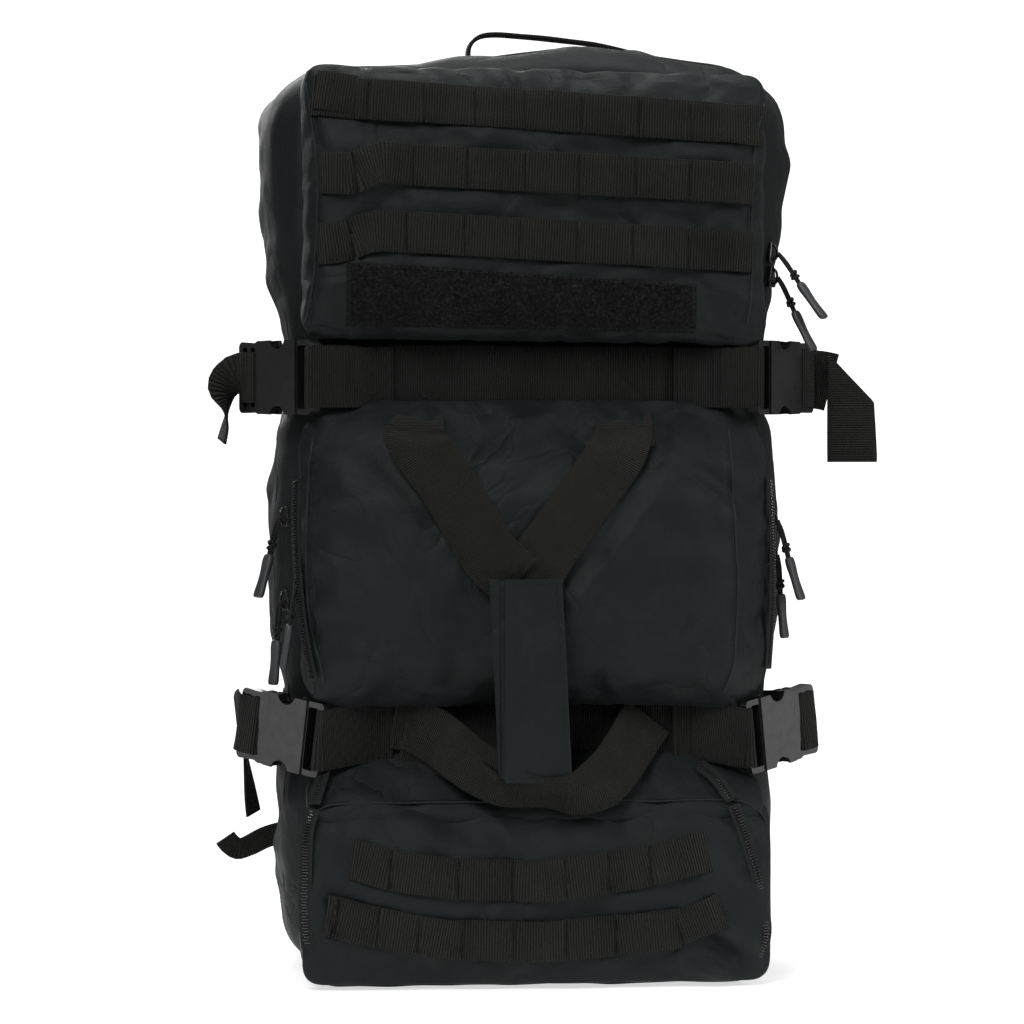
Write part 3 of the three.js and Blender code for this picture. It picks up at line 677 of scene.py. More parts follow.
# ---------- soft pockets ----------
def soft_block(name, low, high, radius, step, shape, pins, pressure, slack, farthest):
    """A closed soft block: rounded, shaped, swollen as cloth, then smoothed."""
    points, faces = rounded_block(low, high, [step] * 3, radius, radius)
    points = shape(points)
    made = mesh_object(name, points, faces, NYLON)
    simulate(made, pins(points), pressure, slack, farthest)
    smooth_levels(made, 1)
    return made


def frontness(points, front, back):
    """1 at the front face, 0 at the back."""
    return np.clip((back - points[:, 1]) / (back - front), 0, 1)


def shape_upper(points):
    out = points.copy()
    ahead = frontness(points, -93, -52)
    x, z = points[:, 0], points[:, 2]
    t = (z - 508) / 86
    # the front edge is drawn in at mid height, and the pocket leans down to the right
    out[:, 0] *= 1 - 0.05 * ahead * np.clip(1 - t**2, 0, 1) - 0.02 * ahead
    out[:, 2] -= 0.045 * x * ahead * np.clip(1 - np.abs(t) * 0.35, 0, 1)
    out[:, 1] += ahead * 7 * np.clip((np.abs(x) - 70) / 85, 0, 1) ** 2
    out[:, 1] += ahead * 12 * np.clip((t - 0.35) / 0.65, 0, 1) ** 2
    out[:, 1] += ahead * 13 * np.clip((-t - 0.7) / 0.33, 0, 1) ** 1.6
    for line in ((-10, 602, -4, 556, 8, 6), (-30, 596, -10, 566, 6, -3), (20, 598, 0, 566, 6, -3),
                 (-120, 556, -44, 548, 7, 3.5), (-88, 548, -20, 556, 6, -3), (52, 548, 130, 556, 7, 3.5),
                 (-140, 468, -96, 512, 8, 4), (-60, 514, 60, 502, 6, 3), (98, 505, 146, 468, 8, 4),
                 (-92, 500, -30, 512, 6, -3), (-60, 430, 40, 424, 7, 3), (104, 462, 140, 430, 8, 4),
                 (-140, 440, -120, 424, 7, 4), (-142, 590, -120, 560, 7, 3.5), (120, 590, 144, 560, 7, 3.5)):
        out[:, 1] += ahead * fold(points, *line)
    out[:, 1] += ahead * (3.4 * crumple(points, 46, 4.0, (0.6, 1, 1.6)) + 1.5 * crumple(points, 18, 6.0))
    return out


def pins_upper(points):
    back = np.clip((points[:, 1] + 62) / 8, 0, 1)
    rows = np.zeros(len(points))
    for z in (574, 530, 486, 446):
        rows = np.maximum(rows, 0.5 * (np.abs(points[:, 2] + 0.045 * points[:, 0] - z) < 12))
    return np.maximum(back, rows * (points[:, 1] < -80))


upper_pocket = soft_block(
    "upper_pocket_fabric", (-154, -92, 419.5), (154, -52, 595), (13, 14, 18), 5.5, shape_upper, pins_upper,
    3.0, 0.035, 8)
place(upper_pocket, "upper_lid", "upper_pocket")


def shape_middle(points):
    out = points.copy()
    ahead = frontness(points, -96, -52)
    x, z = points[:, 0], points[:, 2]
    t = (z - 278) / 100
    out[:, 1] += ahead * 12 * np.clip((np.abs(x) - 50) / 105, 0, 1) ** 2
    out[:, 1] += ahead * 15 * np.clip((x - 124) / 26, 0, 1)
    # the top runs back under the upper belt, the foot tucks in over the lower one
    out[:, 1] += ahead * 31 * np.clip((z - 296) / 86, 0, 1) ** 1.7
    out[:, 1] += ahead * 10 * np.clip((222 - z) / 44, 0, 1) ** 1.7
    out[:, 0] *= 1 - 0.02 * ahead * t**2
    for line in ((-60, 356, 44, 358, 7, 5), (-44, 338, 34, 344, 7, -4.5), (98, 357, 14, 240, 6.5, -6.5),
                 (84, 340, 22, 262, 6.5, 5.5), (-112, 356, -66, 300, 9, 4), (-140, 240, -70, 205, 11, 4),
                 (52, 208, 132, 232, 11, 4), (112, 336, 146, 300, 8, 4), (128, 262, 142, 216, 7, 4.5),
                 (-146, 300, -100, 280, 8, 3.5), (-128, 356, -96, 338, 7, 3), (-100, 230, -30, 215, 9, 3.5),
                 (-46, 340, -66, 290, 10, 3.5), (70, 300, 128, 290, 12, 3)):
        out[:, 1] += ahead * fold(points, *line)
    out[:, 1] += ahead * (3.8 * crumple(points, 60, 9.0, (1, 1, 1.2)) + 1.6 * crumple(points, 20, 3.0))
    return out


middle_pocket = soft_block(
    "middle_pocket_fabric", (-154, -95, 180), (154, -52, 381), (24, 19, 30), 5.5, shape_middle,
    lambda p: np.clip((p[:, 1] + 62) / 8, 0, 1), 2.5, 0.03, 7)
place(middle_pocket, "pack", "middle_pocket")


def lid_piece(name, z0, z1, node, body):
    low, high = (-149, -51, z0), (149, -36, z1)
    planes = [spaced(low[0], high[0], 8, 7), np.linspace(-51, -36, 5), spaced(z0, z1, 8, 6)]
    points, faces = lattice(*planes)
    points = rounded(points, low, high, (7, 7, 5))
    points[:, 0] *= (half_width(points[:, 2]) - 15) / 150
    ahead = frontness(points, -51, -36)
    points[:, 1] -= ahead * (2 + 2.5 * crumple(points, 40, 5.0))
    made = mesh_object(name, points, faces, NYLON)
    smooth_levels(made, 1)
    place(made, body, node)


lid_piece("lid_upper_panel", 422.4, 586, "front_lid_upper", "upper_lid")
lid_piece("lid_lower_panel", 14, 420.6, "front_lid_lower", "pack")


# ---------- lower pocket ----------
def lower_tray():
    """The lower pocket's walls and back."""
    rings = [(1, -84), (0.5, -77), (-1, -66), (0.5, -54), (2, -52.5)]
    corner = 22.0
    line = corner_arcs(151.0, 3.0, 121.0, corner, 7)
    full = []
    for i in range(len(line)):
        a, b = line[i], line[(i + 1) % len(line)]
        pa, pb = a[:2] + corner * a[2:], b[:2] + corner * b[2:]
        parts = max(1, int(np.linalg.norm(pb - pa) / 9))
        for t in np.linspace(0, 1, parts, endpoint=False):
            full.append((*(pa + (pb - pa) * t), *(a[2:] + (b[2:] - a[2:]) * t)))
    full = np.array(full)
    count = len(full)
    points = []
    for inset, y in rings:
        for x, z, ox, oz in full:
            points.append((x - ox * inset, y, z - oz * inset))
    for inset in (30, 52):
        for x, z, ox, oz in full:
            points.append((x * (1 - inset / 150), -52.5, 62 + (z - 62) * (1 - inset / 62)))
    total = len(rings) + 2
    faces = [*ring_quads(total, count), end_face(total - 1, count)]
    points = np.array(points)
    wall = points[:, 1] < -53
    points[:, 2] += wall * 1.2 * crumple(points, 30, 3.0)
    points[:, 2] = np.maximum(points[:, 2], 1.5)
    made = mesh_object("lower_pocket_walls", points, faces, NYLON)
    thicken(made, 2.0)
    place(made, "pack", "lower_pocket_tray")


lower_tray()


def shape_lower(points):
    out = points.copy()
    ahead = frontness(points, -92, -86)
    x, z = points[:, 0], points[:, 2]
    t = (z - 62) / 58
    out[:, 1] += 5 * np.clip((np.abs(x) - 90) / 60, 0, 1) ** 2
    out[:, 1] -= ahead * 5 * np.clip(1 - np.abs(t), 0, 1)
    out[:, 1] += 9 * np.clip((z - 92) / 30, 0, 1) ** 1.8
    out[:, 1] += frontness(points, -92, -86.5) * 4.2 * np.clip((z - 98) / 23, 0, 1)
    for line in ((-66, 116, -20, 84, 8, 3.5), (40, 108, 100, 92, 9, 4), (-140, 62, -92, 46, 8, 4),
                 (96, 44, 132, 16, 6, 7), (112, 40, 144, 22, 5.5, -6), (88, 22, 124, 6, 5.5, -6),
                 (-120, 15, -40, 8, 7, 3.5), (0, 52, 60, 54, 7, 3), (-96, 112, -60, 96, 7, -3),
                 (-140, 100, -110, 70, 8, 3.5)):
        out[:, 1] += fold(points, *line)
    out[:, 1] += 3.2 * crumple(points, 42, 12.0, (0.8, 1, 1.3)) + 1.4 * crumple(points, 17, 4.0)
    return out


lower_panel = soft_block(
    "lower_pocket_front", (-152.5, -92, 3.5), (152.5, -86.5, 121), (12, 2.6, 12), 5.5, shape_lower,
    lambda p: np.where((np.abs(p[:, 0]) > 138) | (p[:, 2] < 14) | (p[:, 2] > 110), 1.0, 0.0),
    2.0, 0.03, 6)
keep_above_floor(lower_panel)
place(lower_panel, "lower_panel", "lower_pocket_panel")


def pocket_top():
    """The soft top of the lower pocket, running back under the lower belt."""
    low, high = (-149, -86.5, 106), (149, -53, 151)
    points, faces = rounded_block(low, high, (6, 5, 5), (24, 5, 5), (24, 5, 9))
    ahead = frontness(points, -86.5, -53)
    rise = np.clip((points[:, 2] - 114) / 37, 0, 1)
    points[:, 1] += ahead * 29.5 * rise**1.2
    points[:, 2] -= 16 * np.clip((np.abs(points[:, 0]) - 96) / 53, 0, 1) ** 1.6 * rise
    for line in ((-50, 150, -20, 118, 7, 3.5), (-110, 142, -76, 120, 7, 3), (60, 148, 84, 118, 7, 3.5)):
        points[:, 1] += ahead * fold(points, *line)
    points[:, 1] += ahead * 2.2 * crumple(points, 34, 15.0)
    made = mesh_object("lower_pocket_top", points, faces, NYLON)
    smooth_levels(made, 1)
    place(made, "pack")


pocket_top()


# ---------- load webbing ----------
def lean_on(tree, x, z):
    """How a flat band lies on a front at (x, z), clear of every bump: its y and its lean."""
    across = np.linspace(-12.5, 12.5, 7)
    ys = np.array([lay(tree, x, z + d) for d in across])
    lean = 0.7 * float(across @ (ys - ys.mean()) / (across @ across))
    return float(np.min(ys - lean * across)), lean


def webbing_row(name, node, body, tree, heights, stitches, seed=0.0):
    """A row along (x, z) points, sewn down at its stitches and standing off between them."""
    known_x, known_z = zip(*heights)
    ties = [known_x[0], *stitches, known_x[-1]]

    def level(x):
        return float(np.mean([np.interp(x + d, known_x, known_z) for d in (-6, -2, 2, 6)]))

    stations = []
    for i, x in enumerate(ties):
        for dx, off in ((-1.9, 1.9), (0, 0.75), (1.9, 1.9)) if 0 < i < len(ties) - 1 else ((0, 0.9),):
            z = level(x + dx)
            y, lean = lean_on(tree, x + dx, z)
            stations.append((x + dx, y - off, z, 0.0, lean, 1.0))
        if i + 1 < len(ties):
            nxt = ties[i + 1]
            gap = nxt - x
            for part in (0.25, 0.5, 0.75):
                mid = x + gap * part
                z = level(mid)
                rise = 0.9 + 3.2 * abs(noise.noise(Vector((i * 1.7, seed, 0.5))))
                rise *= 0.72 if part != 0.5 else 1
                y, lean = lean_on(tree, mid, z)
                stations.append((mid, y - 0.9 - rise * min(1, gap / 30), z,
                                 0.02 * noise.noise(Vector((mid / 9, seed, 2))), lean, 1.0))
    made = webbing(name, stations, 26.5, 1.5, WEBBING, 2.2, 0.6, seed)
    place(made, body, node)
    on_row = surface(made)
    for x in stitches:
        for dx in (-0.7, 0.7):
            line = []
            for dz in np.linspace(-12.2, 12.2, 7):
                z = level(x) + dz
                line.append((x + dx, lay(on_row, x + dx, z) - 0.15, z))
            stitch(body, line, (0, -1, 0), 1.5, 1.6, 0.7)


def loose_end(name, body, tree, start, end, lift, width=25):
    """A short doubled end of webbing lying across a row."""
    stations = []
    for t in np.linspace(0, 1, 5):
        x, z = start[0] + (end[0] - start[0]) * t, start[1] + (end[1] - start[1]) * t
        tilt = (end[1] - start[1]) / (end[0] - start[0])
        stations.append((x, lay(tree, x, z) - 2.2 - lift * math.sin(math.pi * t) ** 0.7, z, -tilt, 0, 1))
    made = webbing(name, stations, width, 1.5, WEBBING, 2.0, 0.5, start[0])
    place(made, body)


on_upper = surface(upper_pocket)
ROWS = [
    ([(-146, 578), (-120, 575), (148, 559)], (-109, -74, -41, -9, 28, 65, 99)),
    ([(-141, 527), (-118, 526), (-104, 534), (-84, 532), (141, 521)], (-118, -81, -46, -9, 26, 63, 98)),
    ([(-142, 481), (-124, 483), (-108, 490), (-85, 489), (140, 477)], (-120, -85, -48, -12, 25, 61, 97)),
]
for i, (heights, ties) in enumerate(ROWS):
    webbing_row(f"load_webbing_upper_{i + 1}", f"upper_webbing_row_{i + 1}", "upper_lid", on_upper,
                heights, ties, 3.0 + i)
loose_end("load_webbing_end_upper", "upper_lid", on_upper, (-143, 581), (-117, 577), 2.5)
on_lower = surface(lower_panel)
webbing_row("load_webbing_lower_1", "lower_webbing_row_1", "lower_panel", on_lower,
            [(-121, 86), (-96, 79), (-50, 73), (0, 71), (60, 78), (110, 90)],
            (-96, -53, -17, 17, 45, 72), 8.0)
webbing_row("load_webbing_lower_2", "lower_webbing_row_2", "lower_panel", on_lower,
            [(-137, 50), (-110, 43), (-60, 34), (0, 32), (50, 35), (92, 40)],
            (-130, -104, -78, -50, -17, 17, 50), 9.0)
loose_end("load_webbing_end_lower", "lower_panel", on_lower, (91, 40), (119, 51), 2.0, 23)


# ---------- seams ----------
def seam(name, body, tree, keys, radius=0.9, gap=2.6):
    """A raised seam along (x, z) points on a pocket's front, with a row of stitches beside it."""
    flat = smooth_points([(x, 0, z) for x, z in keys], 3.0)[:, [0, 2]]
    line = [(x, lay(tree, x, z) - 0.2, z) for x, z in flat]
    made = tube(name, line, radius, NYLON)
    place(made, body)
    inward = -gap if np.mean(flat[:, 0]) > 0 else gap
    beside = [(x + inward, lay(tree, x + inward, z) - 0.1, z) for x, z in flat]
    stitch(body, beside, (0, -1, 0), 3.0, 2.2, 0.5)


seam("upper_seam_left", "upper_lid", on_upper,
     [(-149, 586), (-146, 566), (-142, 530), (-142, 500), (-144, 462), (-149, 432)])
seam("upper_seam_right", "upper_lid", on_upper, [(149, 574), (142, 545), (140, 510), (140, 464), (137, 432)])
on_middle = surface(middle_pocket)
seam("middle_seam_right", "pack", on_middle,
     [(127, 362), (128, 330), (129, 290), (131, 250), (128, 212), (122, 192)])
seam("middle_seam_left", "pack", on_middle, [(-145, 356), (-148, 320), (-149, 280), (-147, 240), (-138, 200)])


# ---------- loop patch ----------
def loop_patch():
    """A strip that leans with the pocket and narrows to the right, sewn round its edge."""
    middle, lean, narrowing = 444.5, 0.043, 0.0011
    x0, x1, half = -124, 103, 21
    xs = np.linspace(x0, x1, 146)
    zs = np.linspace(-half, half, 28)

    def level(x, z):
        return middle - lean * x + z * (1 - narrowing * (x + 125))

    points = []
    for layer in (0, 1):
        for z in zs:
            for x in xs:
                height = level(x, z)
                y = lay(on_upper, x, height)
                fluff = 0.75 * noise.noise(Vector((x / 1.7, z / 1.7, 3.0)))
                edge = min(1.0, (half - abs(z)) / 2, (x - x0) / 2, (x1 - x) / 2)
                points.append((x, y - (0.4 + 1.6 * edge ** 0.5 + fluff if layer == 0 else -0.3), height))
    made = mesh_object("loop_patch_pile", points, slab_faces(len(xs), len(zs)), PILE)
    place(made, "upper_lid", "loop_patch")
    on_patch = surface(made)
    corners = [(-121.5, 18.8), (100.5, 18.8), (100.5, -18.8), (-121.5, -18.8), (-121.5, 18.8)]
    for (xa, za), (xb, zb) in zip(corners, corners[1:]):
        line = []
        for t in np.linspace(0, 1, 30):
            x = xa + (xb - xa) * t
            z = level(x, za + (zb - za) * t)
            line.append((x, lay(on_patch, x, z) - 0.1, z))
        stitch("upper_lid", line, (0, -1, 0), 3.0, 2.2, 0.6)


loop_patch()


# ---------- buckles ----------
# A buckle's own frame: u from the belt end to the tail end, v across the webbing, w out of its face.
# Each one's side, the place of its middle, and how far it turns and tilts in degrees.
BUCKLES = {
    "upper_right": (1, 165.5, -42.5, UPPER_BELT_Z, 50, 0),
    "upper_left": (-1, 165.5, -42.5, UPPER_BELT_Z, 50, 0),
    "lower_right": (1, 163, -47, LOWER_BELT_Z, 42, 8),
    "lower_left": (-1, 163, -47, LOWER_BELT_Z, 42, 8),
}
MIDDLE_U = 19.0


def buckle_frame(where):
    side, x, y, z, turn, tilt = BUCKLES[where]
    a, t = math.radians(turn), math.radians(tilt)
    u = np.array([side * math.cos(a) * math.cos(t), math.sin(a) * math.cos(t), math.sin(t)])
    w = np.array([side * math.sin(a), -math.cos(a), 0.0])
    v = np.cross(w, u)
    return np.array([side * x, y, z]) - u * MIDDLE_U, u, v, w


def on_buckle(where, u, v, w):
    o, du, dv, dw = buckle_frame(where)
    return o + du * u + dv * v + dw * w


def up_the_webbing(where):
    """The direction across a buckle's webbing, pointing up."""
    across = buckle_frame(where)[2]
    return across * np.sign(across[2])


def rounded_outline(points, radius, parts=5):
    """A closed outline with its corners rounded."""
    out, count = [], len(points)
    for i in range(count):
        p, a, b = (np.array(points[j % count], float) for j in (i, i - 1, i + 1))
        to_a, to_b = a - p, b - p
        la, lb = np.linalg.norm(to_a), np.linalg.norm(to_b)
        r = min(radius, 0.45 * la, 0.45 * lb)
        start, end = p + to_a / la * r, p + to_b / lb * r
        for t in np.linspace(0, 1, parts):
            out.append((1 - t) ** 2 * start + 2 * t * (1 - t) * p + t**2 * end)
    return out


def prism(name, outer, w0, w1):
    """An outline in u and v, extruded from w0 to w1, in plain units."""
    mesh = bpy.data.meshes.new(name)
    count = len(outer)
    points = [tuple(float(c) for c in (*p, w)) for w in (w0, w1) for p in outer]
    faces = [end_face(0, count)[::-1], end_face(1, count)]
    faces += [(i, (i + 1) % count, count + (i + 1) % count, count + i) for i in range(count)]
    mesh.from_pydata(points, [], faces)
    made = bpy.data.objects.new(name, mesh)
    bpy.context.scene.collection.objects.link(made)
    return made


def combine(made, other, operation):
    """Cuts or joins one piece with another, which is used up."""
    mod = made.modifiers.new("combine", "BOOLEAN")
    mod.operation, mod.object, mod.solver = operation, other, "EXACT"
    apply_modifiers(made)
    bpy.data.objects.remove(other)


def moulding(name, plates, where, edge=0.9):
    """A moulded piece: extruded outlines in u and v, each from one w to another, with cut holes.
    The plates are joined, cut, and given soft edges."""
    parts = []
    for outer, w0, w1, holes in plates:
        part = prism(name + "_part", outer, w0, w1)
        for hole in holes:
            combine(part, prism("hole", hole, w0 - 3, w1 + 3), "DIFFERENCE")
        parts.append(part)
    made = parts[0]
    for part in parts[1:]:
        combine(made, part, "UNION")
    co = np.zeros(len(made.data.vertices) * 3)
    made.data.vertices.foreach_get("co", co)
    o, u, v, w = buckle_frame(where)
    co = co.reshape(-1, 3)
    co = o + co[:, :1] * u + co[:, 1:2] * v + co[:, 2:] * w
    made.data.vertices.foreach_set("co", (co * MM).ravel())
    made.name = name
    made.data.materials.clear()
    made.data.materials.append(ACETAL)
    if np.linalg.det(np.array([u, v, w])) < 0:
        made.data.flip_normals()
    mod = made.modifiers.new("edges", "BEVEL")
    mod.width = edge * MM
    mod.segments = 3
    mod.limit_method = "ANGLE"
    mod.angle_limit = math.radians(35)
    mod.harden_normals = False
    apply_modifiers(made)
    made.data.polygons.foreach_set("use_smooth", [True] * len(made.data.polygons))
    smooth = made.modifiers.new("even", "WEIGHTED_NORMAL")
    smooth.keep_sharp = False
    apply_modifiers(made)
    return made


def block(u0, u1, v0, v1):
    return [(u0, v0), (u1, v0), (u1, v1), (u0, v1)]


def arc(cx, cy, radius, start, end, parts=14):
    return [(cx + radius * math.cos(math.radians(a)), cy + radius * math.sin(math.radians(a)))
            for a in np.linspace(start, end, parts)]


def socket_piece(where):
    """The half that the arms click into: two shells and a webbing bar, with round windows."""
    half = 24.3
    face = ([(-2, -half)] + arc(15.5, -half - 1.6, 7.4, 167, 13) + [(30, -half + 0.3), (30, half - 0.3)]
            + arc(15.5, half + 1.6, 7.4, -13, -167) + [(-2, half)])
    bar = rounded_outline(block(-16, -1, -half, half), 3.2)
    slots = [rounded_outline(block(-11.6, -3.2, -20.6, 20.6), 1.6)]
    plates = [
        (face, 3.4, 5.4, []),
        (face, -5.4, -3.6, []),
        (block(-2.2, 2.8, -half + 0.1, half - 0.1), -5.2, 5.2, []),
        (block(0, 30, -half + 0.5, -19.7), -4, 4, [arc(15.5, -half - 1.6, 8.0, 0, 350, 24)]),
        (block(0, 30, 19.7, half - 0.5), -4, 4, [arc(15.5, half + 1.6, 8.0, 0, 350, 24)]),
        (bar, -4.2, 4.2, slots),
    ]
    made = moulding(f"{where}_buckle_socket", plates, where)
    place(made, "pack", f"{where}_socket")


def plug_piece(where):
    """The half with the arms: a shoulder, a guide tongue and two bars for the webbing."""
    half = 24.0
    body = rounded_outline(
        [(30.5, -half), (36, -half), (38, -half + 1.4), (52, -half + 0.6), (54, -half + 3), (54, half - 3),
         (52, half - 0.6), (38, half - 1.4), (36, half), (30.5, half)], 1.4, 4)
    slots = [rounded_outline(block(u0, u1, -19.6, 19.6), 1.4) for u0, u1 in ((38.2, 42.4), (45.6, 50.2))]
    plates = [
        (body, -4.2, 4.2, slots),
        (rounded_outline(block(7, 33, -5.6, 5.6), 2.5), -2.3, 2.3, []),
        (block(30.6, 36.2, -half + 1.2, half - 1.2), -4.7, 4.7, []),
    ]
    made = moulding(f"{where}_buckle_plug", plates, where, 0.7)
    place(made, f"{where}_buckle_plug", f"{where}_plug")


def arm_piece(where, end):
    side = BUCKLES[where][0]
    sign = side if end == "top" else -side
    shape = rounded_outline(
        [(29.8, 15.4), (29.8, 18.7), (25, 18.8), (20, 18.7), (12, 18.7), (9.5, 18.5), (7.2, 16.2),
         (7.2, 14), (12, 13.9), (17, 14.8), (22, 15.6)], 0.9, 3)
    shape = [(p[0], p[1] * sign) for p in shape]
    if sign < 0:
        shape = shape[::-1]
    made = moulding(f"{where}_buckle_arm_{end}", [(shape, -2.4, 2.4, [])], where, 0.5)
    place(made, f"{where}_button_{end}", f"{where}_arm_{end}")


for where in BUCKLES:
    socket_piece(where)
    plug_piece(where)
    arm_piece(where, "top")
    arm_piece(where, "bottom")


# ---------- belts ----------
def belt(name, node, where, height, droop):
    """A belt across the front, looped round the bar of the socket at each end."""
    stations = []
    width_dir = up_the_webbing(where)
    end = on_buckle(where, -16.6, 0, 0.6)
    for x in (0, 30, 60, 90, 108):
        z = height + droop * math.sin(x / 40)
        y = -55.5 - 1.2 * math.sin(x / 23 + height)
        stations.append((x, y, z, 0, 0.0, 1))
    stations.append((122, (end[1] - 58) / 2, (height + end[2]) / 2, *(0.5 * (width_dir + [0, 0, 1]))))
    stations.append((*end, *width_dir))
    other = [(-x, y, z, -a, b, c) for x, y, z, a, b, c in stations[1:]][::-1]
    for i, (x, y, z, a, b, c) in enumerate(other):
        other[i] = (x, y - 0.8, z + 0.8, a, b, c)
    made = webbing(name, other + stations, 40, 1.8, WIDE_WEBBING, 2.5, 0.5, height)
    place(made, "pack", node)
    return made


upper_belt = belt("upper_belt", "upper_front_belt", "upper_right", UPPER_BELT_Z, 0.6)
lower_belt = belt("lower_belt", "lower_front_belt", "lower_right", LOWER_BELT_Z, -1.0)


def fold_back(where):
    """The doubled end of a belt, brought round the bar and sewn down."""
    side, width_dir = BUCKLES[where][0], up_the_webbing(where)
    a = on_buckle(where, -13.6, 0, -3.4)
    height = BUCKLES[where][3]
    stations = [
        (*on_buckle(where, -9.0, 0, 1.4), *width_dir),
        (*on_buckle(where, -11.8, 0, 4.6), *width_dir),
        (*on_buckle(where, -16.4, 0, 4.4), *width_dir),
        (side * 122, a[1] * 0.5 - 33.5, (height + a[2]) / 2, *(0.5 * (width_dir + [0, 0, 1]))),
        (side * 104, -58.7, height, 0, 0, 1),
        (side * 92, -58.4, height, 0, 0, 1),
    ]
    made = webbing(f"belt_end_{where}", stations, 39.4, 1.5, WIDE_WEBBING, 2.0, 0.3, height)
    place(made, "pack")
    return made


BELT_ENDS = [fold_back(where) for where in BUCKLES]

on_belts = surface(upper_belt, lower_belt, *BELT_ENDS)


def box_stitch(x0, x1, z0, z1, cross=True):
    corners = [(x0, z0), (x1, z0), (x1, z1), (x0, z1), (x0, z0)]
    lines = list(zip(corners, corners[1:]))
    if cross:
        lines += [((x0, z0), (x1, z1)), ((x0, z1), (x1, z0))]
    for (xa, za), (xb, zb) in lines:
        line = []
        for t in np.linspace(0, 1, 12):
            x, z = xa + (xb - xa) * t, za + (zb - za) * t
            line.append((x, lay(on_belts, x, z) - 0.15, z))
        stitch("pack", line, (0, -1, 0), 2.7, 2.0, 0.6)


for x0, x1 in ((-111, -66), (42, 78)):
    box_stitch(x0, x1, UPPER_BELT_Z - 16, UPPER_BELT_Z + 16)
for x in (-92, -88, 90, 95, 118, 122, -118, -122):
    box_stitch(x, x + 0.01, UPPER_BELT_Z - 17, UPPER_BELT_Z + 17, False)
for x in (-107, -93, 96, 104):
    box_stitch(x, x + 0.01, LOWER_BELT_Z - 16, LOWER_BELT_Z + 16, False)


# ---------- side straps and tails ----------
def side_straps():
    for where, (side, *_) in BUCKLES.items():
        height, width_dir = BUCKLES[where][3], up_the_webbing(where)
        start = on_buckle(where, 48.0, 0, -1.0)
        out = on_buckle(where, 55.0, 0, -1.4)
        x_side = half_width(height) + 2.6
        stations = [
            (*start, *width_dir), (*out, *width_dir),
            (side * (abs(out[0]) * 0.55 + x_side * 0.45 + 0.5), out[1] + 16, (out[2] + height) / 2, 0, 0, 1),
            (side * (x_side + 2.2), 30, height, 0, 0, 1), (side * (x_side + 0.9), 52, height, 0, 0, 1),
            (side * (x_side + 0.4), 78, height, 0, 0, 1),
        ]
        strap = webbing(f"{where}_side_webbing", stations, 39, 1.7, WIDE_WEBBING, 2.5, 0.6, height + side)
        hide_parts(f"{where}_side_strap")
        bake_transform(strap)
        line = [(side * (x_side + 1.6), 74, height + dz) for dz in np.linspace(-17, 17, 8)]
        stitch("pack", line, (side, 0, 0), 2.6, 1.9, 0.6)


side_straps()


def tail(name, where, stations, width, lean=None, clear=52):
    """A free end. With a lean it comes out of the plug, over its bar, and leaves it at clear."""
    if lean is not None:
        bars = ((37.5, 3.4), (41, 5.4), (clear, 5.2))
        stations = [(*on_buckle(where, u, 0, w), lean, 0, 1) for u, w in bars] + stations
    made = webbing(name, stations, width, 1.6, WIDE_WEBBING, 2.2, 0.8, len(name) * 1.7)
    place(made, f"{where}_buckle_plug")


def hanging_end(name, where, y, left, levels, rights):
    """Webbing folded over and hanging flat: its left edge is straight, its right edge slants at the fold."""
    points = []
    zs = np.linspace(levels[0], levels[-1], 30)
    across = np.linspace(0, 1, 9)
    for shift in (-0.8, 0.8):
        for z in zs:
            right = np.interp(z, levels, rights)
            for t in across:
                x = left + (right - left) * t
                bow = 1.0 * noise.noise(Vector((x / 16, z / 22, 4.0))) - 2.2 * ((z - levels[0]) / 72) ** 2
                points.append((x, y + shift + bow, z))
    faces = slab_faces(len(across), len(zs))
    uv = [(points[i][0] * MM, points[i][2] * MM) for f in faces for i in f]
    made = mesh_object(name, points, faces, WIDE_WEBBING, True, uv)
    place(made, f"{where}_buckle_plug")


